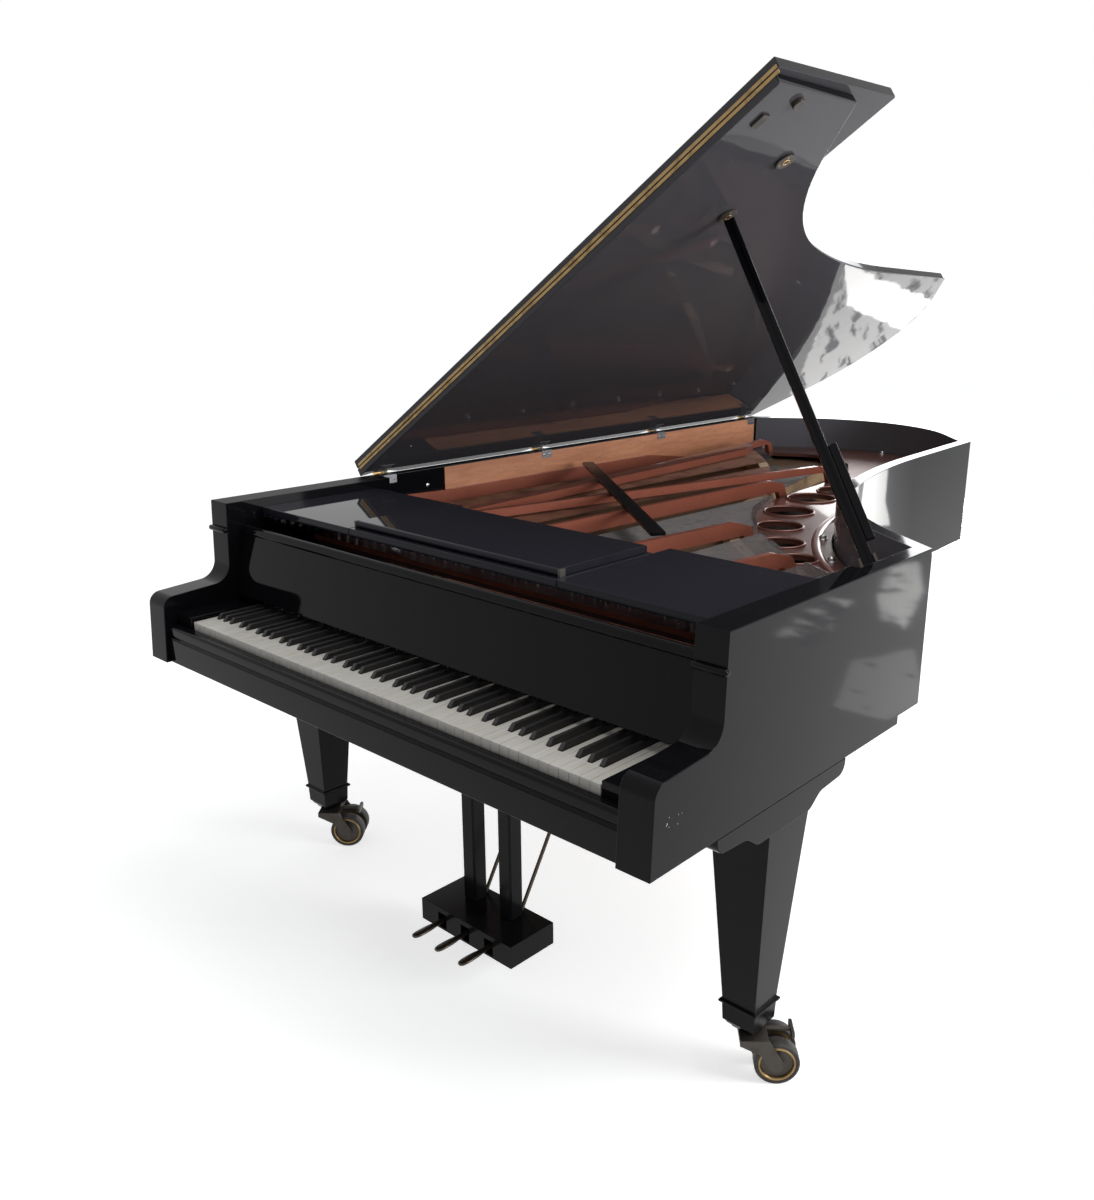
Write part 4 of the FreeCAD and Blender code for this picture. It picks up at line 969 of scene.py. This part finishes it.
@dataclass
class Strings(Assembly):
    """Plate, strings, pins, agraffes, hitch pins and dampers."""

    plate_top: float = 874.0
    holes: tuple = ((-3, 1848, 66), (-4, 1683, 70), (52, 1468, 68), (139, 1284, 60),
                    (249, 1121, 54), (368, 1002, 47))
    ridge: tuple = ((150, 1680), (161, 1601), (200, 1419), (274, 1242), (375, 1078), (485, 953),
                    (540, 905))
    single_notes: int = 17
    wire_r: float = 0.55
    spread: float = 4.2
    pin_r: float = 3.3
    capo_y: float = 582.0

    def build(self) -> None:
        """Build all of it."""
        self.plate()
        self.bolts()
        self.wires()
        self.dampers()
        clad("cross_bar", "cross_stay", Body.CASE, Slot.BAR, BAR_BLACK, 1.5, 2)
        clad("treble_bridge", "long_bridge", Body.CASE, Slot.MAPLE, MAPLE, 2.0, 2)
        clad("bass_bridge", "short_bridge", Body.CASE, Slot.MAPLE, MAPLE, 2.0, 2)

    def plate(self) -> None:
        """Build the cast plate with rolled hole rims and a ridge along the bent side."""
        shaper = Shaper.of("iron_plate").soften(4.2, 4, 28.0)
        for x, y, r in self.holes:
            place = Matrix.Translation(at(x, y, self.plate_top))
            ring = [(r + 2.5 + 4.0 * math.cos(a), 0.5 + 4.5 * math.sin(a))
                    for a in (math.radians(30 * k) for k in range(12))]
            shaper.turned(ring, place, PLATE, 56, closed=True)
        crest = [at(x, y, self.plate_top - 1) for x, y in self.ridge]
        shaper.bm.from_mesh(swept("ridge", crest, 13.0, 0.55))
        shaper.done("cast_plate", Body.CASE, Slot.PLATE, PLATE, ["iron_plate"])

    def bolts(self) -> None:
        """Build the six-sided nuts with domed caps that hold the plate."""
        shaper = Shaper()
        source = Shaper.of("plate_bolts")
        for island in source.islands():
            low = min(v.co.z for v in island)
            if low * 1000 < self.plate_top - 5:
                continue
            middle = sum((v.co for v in island), Vector()) / len(island)
            base = Vector((middle.x, middle.y, self.plate_top / 1000))
            place = Matrix.Translation(base)
            shaper.turned([(0, 1.6), (13, 1.6), (14, 0.8), (14, -0.5)], place, STEEL, 24)
            shaper.rod(base + Vector((0, 0, 0.001)), base + Vector((0, 0, 0.0075)), 9.5, STEEL, 6)
            shaper.turned([(0, 11.5), (4, 10.8), (7.2, 8.4), (7.6, 7.0)], place, STEEL, 16)
        shaper.done("plate_nuts", Body.CASE, Slot.STEEL, replaces=["plate_bolts"])

    def lines(self, node: str) -> list[tuple[Vector, Vector]]:
        """Return the two ends of each packed string, from treble to bass or back.

        Args:
            node: The node that holds the strings.

        Returns:
            Start and end of each string's middle line.
        """
        result = []
        source = Shaper.of(node)
        for island in source.islands():
            order = sorted(island, key=lambda v: v.co.y)
            half = len(order) // 2
            ends = [sum((v.co for v in part), Vector()) / half for part in (order[:half], order[-half:])]
            result.append((ends[0], ends[1]))
        return sorted(result, key=lambda pair: pair[0].x)

    def wires(self) -> None:
        """Build the real wires: three to a treble note, one or two to a bass note, with their pins."""
        wires, wound, pins, studs, hitch = Shaper(), Shaper(), Shaper(), Shaper(), Shaper()
        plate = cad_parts["iron_plate"].data
        tree = BVHTree.FromPolygons([v.co for v in plate.vertices], [p.vertices for p in plate.polygons])
        for node, low in (("treble_strings", False), ("bass_strings", True)):
            for k, (start, end) in enumerate(self.lines(node)):
                along = (end - start).normalized()
                across = along.cross(Vector((0, 0, 1))).normalized()
                offsets = (-1, 0, 1)
                if low:
                    offsets = (-0.55, 0.55) if k >= self.single_notes else (0,)
                for j in offsets:
                    side = across * (j * self.spread / 1000)
                    a = start + side + along * (0.013 * j)
                    b = end + side
                    self.course((wires, wound, pins), a, b, low, k)
                    foot = tree.ray_cast(b + Vector((0, 0, 0.01)), Vector((0, 0, -1)), 0.06)[0]
                    if foot is not None:
                        top = b + Vector((0, 0, 0.004))
                        hitch.rod(foot - Vector((0, 0, 0.002)), top, 1.7, STEEL, 6)
                self.stud(studs, start, along, low)
        wires.done("plain_wires", Body.CASE, Slot.STEEL, replaces=["treble_strings"])
        wound.done("wound_wires", Body.CASE, Slot.COPPER, replaces=["bass_strings"])
        pins.done("wrest_pins", Body.CASE, Slot.STEEL, replaces=["tuning_pins"])
        studs.done("agraffes", Body.CASE, Slot.BRASS)
        hitch.done("hitch_pins", Body.CASE, Slot.STEEL)

    def course(self, into: tuple[Shaper, Shaper, Shaper], a: Vector, b: Vector, low: bool,
               k: int) -> None:
        """Build one wire and its tuning pin.

        Args:
            into: Takers of plain wire, wound wire and pins.
            a: End at the pin.
            b: End at the hitch pin.
            low: Whether it is a bass string.
            k: Number of the note in its section.
        """
        wires, wound, pins = into
        if low:
            along = (b - a).normalized()
            thick = 2.9 - 0.055 * k
            bare = a + along * 0.19
            wires.rod(a, bare, 0.7, WIRE, 5)
            wound.rod(bare, b - along * 0.05, thick, COPPER, 8)
            wires.rod(b - along * 0.05, b, 0.7, WIRE, 5)
        else:
            wires.rod(a, b, self.wire_r + 0.004 * (60 - k if k < 60 else 0), WIRE, 4)
        foot = Vector((a.x, a.y, self.plate_top / 1000))
        lean = Vector((0, -0.10, 1.0)).normalized()
        pins.rod(foot - lean * 0.004, foot + lean * 0.024, self.pin_r, PIN_STEEL, 10)
        pins.rod(foot + lean * 0.024, foot + lean * 0.034, 3.2, PIN_STEEL, 4, 2.5)
        reach = a.z - foot.z
        pins.rod(foot + lean * (reach - 0.0022), foot + lean * (reach + 0.0022), 4.4, WIRE, 10)

    def stud(self, studs: Shaper, start: Vector, along: Vector, low: bool) -> None:
        """Build the brass agraffe of one note where its wires cross the front rest."""
        step = ((self.capo_y + KEYS_FRONT) / 1000 - start.y) / along.y
        spot = start + along * step
        half = Vector((0.0052 if not low else 0.0045, 0.0028, 0.0035))
        studs.box(spot - half, spot + half, BRIGHT_BRASS, 0.8, 1)

    def dampers(self) -> None:
        """Build the damper heads: black wood over white felt."""
        shaper = Shaper()
        source = Shaper.of("damper_heads")
        for island in source.islands():
            low = Vector([min(v.co[n] for v in island) for n in range(3)])
            high = Vector([max(v.co[n] for v in island) for n in range(3)])
            part = low.z + 0.0055
            inset = Vector((0.0004, 0, 0))
            shaper.box(low, Vector((high.x, high.y, part)), WHITE_FELT, 0.8, 1)
            shaper.box(Vector((low.x, low.y, part)) + inset, high - inset, SATIN_BLACK, 1.8, 2)
        shaper.done("damper_set", Body.DAMPERS, Slot.DAMPER, replaces=["damper_heads"])

    def dress(self) -> None:
        """Finish the pin block, which stays as packed."""
        # Painted shade: the pin block gets the darkened wood.
        dress("pin_block", BLOCK_SHADE)


@dataclass
class Lid(Assembly):
    """Main lid, folded flap, their hinges and the prop."""

    case_half: float = 772.0
    hinge_x: float = 777.0
    lid_z: float = 990.5
    angle: float = 33.4
    cups: tuple = ((592, 862), (409, 881))
    cup_t: float = 6.0
    leaf_x: float = -731.5
    rim_top: float = 988.0
    lid_over: float = 13.0
    flap_over: float = 10.0
    relief: float = 26.0
    slope: float = 40.0

    def build(self) -> None:
        """Build the lid's panels, fittings and prop."""
        spots = Shaper.of("lid_hinge_rim_leaves").middles()
        for node, name, body, width, over, along in (
                ("lid_main", "lid_panel", Body.LID, 4.0, self.lid_over, spots),
                ("lid_flap", "flap_panel", Body.FLAP, 5.0, self.flap_over, [])):
            panel = Shaper.of(node)
            self.reach_over(panel, over, along)
            panel.soften(width, 4, 40.0, lambda edge: not self.lower_edge(edge))
            # Painted light: the lower faces get the lighter grey lacquer, the upper faces the plain
            # black.
            panel.paint(list(panel.bm.faces), LID_UNDERSIDE_LIT)
            panel.paint([f for f in panel.bm.faces if f.normal.z > 0.3], BLACK)
            panel.done(name, body, Slot.LACQUER, replaces=[node])
        for node, body in (("long_hinge_main_leaf", Body.LID), ("long_hinge_flap_leaf", Body.FLAP)):
            clad(node, node + "_brass", body, Slot.BRASS, BRASS, 0.5, 2)
        for node, body in (("lid_hinge_rim_leaves", Body.CASE), ("lid_hinge_lid_leaves", Body.LID)):
            self.butts(node, body)
        self.bushes()
        clad("lid_fittings", "fittings", Body.LID, Slot.BRASS, FORK_METAL, 1.0, 2, 40.0)
        clad("prop_stick", "prop_long", Body.PROP, Slot.LACQUER, BLACK, 0.8, 2, 50.0)
        clad("prop_half_stick", "prop_half", Body.HALF_PROP, Slot.LACQUER, BLACK, 0.8, 2, 50.0)
        clad("prop_bracket", "prop_foot", Body.CASE, Slot.BRONZE, FORK_METAL, 0.8, 2, 45.0)

    def swing(self) -> Matrix:
        """Return the turn that opens the closed lid."""
        turn = Matrix.Rotation(math.radians(-self.angle), 4, "Y")
        pivot = Matrix.Translation(at(-self.hinge_x, 0, self.lid_z))
        return pivot @ turn @ pivot.inverted()

    def open_at(self, x: float, y: float, z: float) -> Matrix:
        """Return where a point of the closed lid comes to lie once the lid stands open."""
        return self.swing() @ Matrix.Translation(at(x, y, z))

    def lower_edge(self, edge: bmesh.types.BMEdge) -> bool:
        """Return whether an edge is the lower one along the spine."""
        low = at(1 - self.case_half, 0, self.lid_z + 1)
        ends = [self.swing().inverted() @ vert.co for vert in edge.verts]
        return all(end.x < low.x and end.z < low.z for end in ends)

    def reach_over(self, panel: Shaper, over: float, spots: Sequence[float]) -> None:
        """Bring a panel's spine edge out over the rim, with a relief at each hinge.

        Args:
            panel: The panel's mesh.
            over: Millimetres that the edge comes out.
            spots: Places of the hinges along y, in metres.
        """
        clear, slope = self.relief / 1000, self.slope / 1000
        for spot in spots:
            for step in (-clear - slope, -clear, clear, clear + slope):
                geom = panel.bm.verts[:] + panel.bm.edges[:] + panel.bm.faces[:]
                bmesh.ops.bisect_plane(panel.bm, geom=geom, dist=1e-6, plane_co=(0, spot + step, 0),
                                       plane_no=(0, 1, 0))
        shut = self.swing().inverted()
        out = self.swing().to_3x3() @ Vector((-over / 1000, 0, 0))
        for vert in panel.bm.verts:
            if (shut @ vert.co).x < at(1 - self.case_half, 0, 0).x:
                room = min((abs(vert.co.y - spot) - clear for spot in spots), default=slope)
                vert.co += out * min(max(room / slope, 0.0), 1.0)

    def butts(self, node: str, body: Body) -> None:
        """Build one half of the butt hinges: grey leaves, gilt knuckles and screws.

        Args:
            node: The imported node.
            body: The body that carries it.
        """
        shaper = Shaper.of(node)
        spots = shaper.middles()
        shaper.soften(0.4, 1, 45.0)
        edge = at(-self.case_half, 0, 0).x
        shaper.paint(list(shaper.bm.faces), GREY_STEEL)
        shaper.paint([f for f in shaper.bm.faces if f.calc_center_median().x < edge], BRIGHT_BRASS)
        if body is Body.CASE:
            for y in spots:
                for side in (-13, 13):
                    spot = at(self.leaf_x, 0, self.rim_top - 12)
                    spot.y = y + side / 1000
                    place = Matrix.Translation(spot) @ Matrix.Rotation(math.pi / 2, 4, "Y")
                    shaper.screw(place, 3.6, GREY_STEEL)
        shaper.done(node + "_set", body, Slot.BRASS, replaces=[node])

    def bushes(self) -> None:
        """Build the gilt bushes in the lid's two prop cups."""
        shaper = Shaper()
        for x, y in self.cups:
            place = self.open_at(x, y, self.lid_z - self.cup_t) @ Matrix.Rotation(math.pi, 4, "X")
            ring = [(6.0, -0.5), (8.6, -0.5), (8.6, 0.5), (8.0, 1.0), (6.4, 1.0), (6.0, 0.6)]
            shaper.turned(ring, place, BRIGHT_BRASS, 24, closed=True)
            for k in range(3):
                a = math.radians(120 * k + 30)
                shift = Matrix.Translation((0.015 * math.cos(a), 0.015 * math.sin(a), 0))
                shaper.screw(place @ shift, 2.6, AGED_BRASS)
        shaper.done("cup_bushes", Body.LID, Slot.BRASS)


@dataclass
class Stand(Assembly):
    """Legs, casters, lyre and pedals."""

    spots: tuple = (("treble", 697, 372), ("bass", -697, 372), ("tail", -300, 2330))
    trail: float = 55.0
    turn: float = 41.0
    wheel_r: float = 45.0
    wheel_w: float = 30.0
    wheel_gap: float = 22.0
    lyre_x: float = 25.0
    step: float = 78.0
    pedal_z: float = 83.0
    lever: tuple = ((142.5, 2, 1.5), (144, 6, 3.5), (149, 9.3, 4.8), (158, 11, 5.2), (175, 11, 5.2),
                    (190, 10, 5.0), (206, 7.2, 4.9), (222, 6.2, 4.9), (240, 7, 4.9), (344, 7.8, 4.9))

    def build(self) -> None:
        """Build everything the case stands on."""
        clad("legs", "leg_set", Body.CASE, Slot.LACQUER, SATIN_BLACK, 1.8, 2, 30.0)
        clad("lyre_box", "lyre_plinth", Body.CASE, Slot.LACQUER, SATIN_BLACK, 2.5, 3, 45.0)
        clad("lyre_posts", "lyre_columns", Body.CASE, Slot.LACQUER, SATIN_BLACK, 4.0, 1, 45.0)
        Shaper.of("lyre_stays").done("stay_rods", Body.CASE, Slot.BRASS, PEDAL_METAL, ["lyre_stays"])
        for name, x, y in self.spots:
            self.caster(name, x, y)
        for name, k in (("left", -1), ("middle", 0), ("right", 1)):
            self.pedal(name, self.lyre_x + k * self.step)

    def caster(self, name: str, x: float, y: float) -> None:
        """Build one caster's fork and its pair of wheels."""
        clad("caster_fork_" + name, "fork_%s_metal" % name, "fork_" + name, Slot.BRONZE, FORK_METAL,
             0.9, 2, 40.0)
        angle = math.radians(self.turn)
        hub = at(x + self.trail * math.cos(angle), y + self.trail * math.sin(angle), self.wheel_r)
        axle = Vector((-math.sin(angle), math.cos(angle), 0))
        place = Matrix.Translation(hub) @ axle.to_track_quat("Z", "Y").to_matrix().to_4x4()
        r, near = self.wheel_r, self.wheel_gap / 2
        far = near + self.wheel_w
        shaper = Shaper()
        for side in (-1, 1):
            half = place @ Matrix.Diagonal((1, 1, side, 1))
            tyre = [(r - 4, near), (r - 1.2, near + 0.7), (r, near + 3), (r, far - 3),
                    (r - 1.2, far - 0.7), (r - 4, far), (r - 7, far - 1.2), (r - 7, near + 1.2)]
            shaper.turned(tyre, half, TREAD, 56, closed=True)
            ring = [(r - 7.2, near + 2), (r - 7.2, far - 2), (r - 8.5, far - 0.8), (r - 11.5, far - 0.8),
                    (r - 13, far - 2.5), (r - 13.5, far - 6), (r - 13.5, near + 2)]
            shaper.turned(ring, half, BRASS, 48, closed=True)
            disc = [(r - 13.3, far - 7), (17, far - 9), (14, far - 8), (12.5, far - 2), (10, far - 1),
                    (6, far - 1), (6, near - 0.5), (14, near - 0.5), (16, near + 2),
                    (r - 13.3, near + 3)]
            shaper.turned(disc, half, FORK_METAL, 40, closed=True)
        sleeve = [(6, -near), (13.8, -near), (13.8, near), (6, near)]
        shaper.turned(sleeve, place, FORK_METAL, 32, closed=True)
        shaper.done("wheel_%s_turned" % name, "wheel_" + name, Slot.TREAD,
                    replaces=["caster_wheel_" + name])

    def pedal(self, name: str, x: float) -> None:
        """Build one pedal as a cast lever with a rounded toe."""
        shaper = Shaper()
        z = self.pedal_z
        shaper.lofted([(at(x, y, z), wide, high) for y, wide, high in self.lever], PEDAL_METAL, 20)
        shaper.rod(at(x - 23, 335, z), at(x + 23, 335, z), 5.9, PEDAL_METAL, 20)
        shaper.done("pedal_%s_lever" % name, "pedal_" + name, Slot.BRASS, replaces=["pedal_" + name])


@dataclass
class Studio:
    """Pale floor, soft lamps and the camera at the photograph's place."""

    eye: tuple = (1.68801, -2.53117, 1.51111)
    yaw: float = 41.8045
    pitch: float = -16.8194
    roll: float = 0.2579
    focal_px: float = 1093.585
    centre_px: tuple = (593.25, 608.533)
    image: tuple = (1094, 1200)
    sensor: float = 36.0
    floor_half: float = 14.0
    floor_glow: float = 0.62
    sky_light: float = 0.42
    patches: tuple = (
        (6.0, 0.0, ((-0.54, 3.27), (-0.77, 4.6), (-0.97, 4.35), (-0.80, 3.5))),
        (2.2, 0.40, ((-1.5, 3.3), (-0.60, 3.3), (-0.45, 5.4), (-1.5, 5.4))),
        (6.0, 0.0, ((-0.1, 4.25), (0.90, 4.2), (0.84, 5.05), (1.02, 6.4), (-0.1, 6.6))),
        (1.8, 0.34, ((1.80, 1.40), (1.68, 1.72), (1.38, 1.16), (1.42, 0.90), (1.62, 0.90))),
        (5.0, 0.40, ((1.83, 1.95), (1.95, 2.00), (2.15, 2.35), (2.36, 2.92), (2.30, 3.15),
                     (2.02, 2.60))),
        (4.0, 0.50, ((2.06, 1.45), (2.22, 1.50), (2.36, 2.20), (2.24, 2.28), (2.10, 1.80))))

    def build(self) -> None:
        """Build the stage."""
        self.floor()
        self.world()
        self.lamps()
        self.camera()

    def floor(self) -> None:
        """Build the floor, which stays white to the camera outside the shadows."""
        mesh = bpy.data.meshes.new("floor")
        bm = bmesh.new()
        bmesh.ops.create_grid(bm, x_segments=1, y_segments=1, size=self.floor_half)
        bm.to_mesh(mesh)
        bm.free()
        shade = Shade("floor_white")
        grain = shade.noise(3.0, 2.0)
        shade.set(Base_Color=shade.blend(grain, (0.78, 0.78, 0.78), (0.82, 0.82, 0.82)), Roughness=0.9)
        glow = shade.node("ShaderNodeEmission", None, {"Color": WHITE, "Strength": self.floor_glow})
        both = shade.node("ShaderNodeAddShader", None,
                          {0: shade.surface.outputs["BSDF"], 1: glow.outputs["Emission"]})
        mix = shade.node("ShaderNodeMixShader", None,
                         {0: shade.seen(), 1: shade.surface.outputs["BSDF"], 2: both.outputs["Shader"]})
        shade.feed(shade.output.inputs["Surface"], mix.outputs["Shader"])
        mesh.materials.append(shade.material)
        floor = bpy.data.objects.new("floor", mesh)
        bpy.context.scene.collection.objects.link(floor)

    def world(self) -> None:
        """Build the white surround."""
        world = bpy.data.worlds.new("surround")
        bpy.context.scene.world = world
        world.use_nodes = True
        nodes = Nodes(world.node_tree)
        soft = nodes.node("ShaderNodeBackground", None, {"Color": SKY, "Strength": self.sky_light})
        white = nodes.node("ShaderNodeBackground", None, {"Color": WHITE, "Strength": 1.0})
        mix = nodes.node("ShaderNodeMixShader", None,
                         {0: nodes.seen(), 1: soft.outputs[0], 2: white.outputs[0]})
        nodes.node("ShaderNodeOutputWorld", None, {"Surface": mix.outputs[0]})

    def lamp(self, name: str, place: Point, aim: Point, size: tuple, power: float,
             tint: Colour) -> bpy.types.Object:
        """Add one soft rectangular lamp.

        Args:
            name: Its name.
            place: Where it hangs.
            aim: The point it faces.
            size: Its width and height.
            power: Its power in watts.
            tint: Its colour.

        Returns:
            The lamp's object.
        """
        light = bpy.data.lights.new(name, "AREA")
        light.shape = "RECTANGLE"
        light.size, light.size_y = size
        light.energy = power
        light.color = tint
        holder = bpy.data.objects.new(name, light)
        holder.location = place
        holder.rotation_euler = (Vector(aim) - Vector(place)).to_track_quat("-Z", "Y").to_euler()
        bpy.context.scene.collection.objects.link(holder)
        return holder

    def lamps(self) -> None:
        """Hang the lamps: a broad one overhead, a window to the right and one behind."""
        self.lamp("overhead", (1.2, 0.4, 4.2), (0, 0, 0.8), (3.2, 3.2), 100, (1.0, 0.99, 0.97))
        self.lamp("window_right", (5.2, 1.6, 2.2), (-0.6, 0.0, 0.9), (2.2, 2.2), 210, DAYLIGHT)
        tail = self.lamp("window_tail", (-2.0, 6.2, 2.3), (0.0, 0.4, 0.9), (4.4, 2.4), 150, DAYLIGHT)
        tail.visible_diffuse = False
        self.sun()

    def sun(self) -> None:
        """Lay the bright patches of sunlight on the floor that the polished sides mirror."""
        for n, (strength, edge, corners) in enumerate(self.patches):
            mesh = bpy.data.meshes.new("sun_%d" % n)
            bm = bmesh.new()
            bm.faces.new([bm.verts.new((x, y, 0.003 + 0.001 * (n != 1))) for x, y in corners])
            bmesh.ops.recalc_face_normals(bm, faces=bm.faces)
            bm.to_mesh(mesh)
            bm.free()
            shade = Shade("sunlight_%d" % n)
            cloud = shade.noise(7.0, 4.0, 0.6).above(edge, edge + 0.06)
            tint = shade.blend(cloud, (0.10, 0.10, 0.11), (1.0, 0.99, 0.97))
            shade.set(Base_Color=(0.8, 0.8, 0.8), Roughness=0.9, Emission_Color=tint,
                      Emission_Strength=strength)
            mesh.materials.append(shade.material)
            patch = bpy.data.objects.new("sun_%d" % n, mesh)
            patch.visible_camera = False
            bpy.context.scene.collection.objects.link(patch)

    def camera(self) -> None:
        """Set the camera from the photograph's own perspective."""
        lens = bpy.data.cameras.new("view")
        lens.sensor_width = self.sensor
        lens.sensor_fit = "AUTO"
        wide, high = self.image
        longer = max(wide, high)
        lens.lens = self.focal_px * self.sensor / longer
        lens.shift_x = (wide / 2 - self.centre_px[0]) / longer
        lens.shift_y = (self.centre_px[1] - high / 2) / longer
        lens.clip_end = 60.0
        holder = bpy.data.objects.new("view", lens)
        turn = (Matrix.Rotation(math.radians(self.yaw), 4, "Z")
                @ Matrix.Rotation(math.radians(90 + self.pitch), 4, "X")
                @ Matrix.Rotation(math.radians(self.roll), 4, "Z"))
        holder.matrix_world = Matrix.Translation(self.eye) @ turn
        bpy.context.scene.collection.objects.link(holder)
        bpy.context.scene.camera = holder
        bpy.context.scene.view_settings.view_transform = "Standard"


def main() -> None:
    """Build the classes in order."""
    logging.basicConfig(level=logging.INFO, format="%(name)s %(message)s")
    for part in (CaseWork(), Keyboard(), Strings(), Lid(), Stand()):
        part.build()
        part.dress()
    Studio().build()


if __name__ == "__main__":
    main()
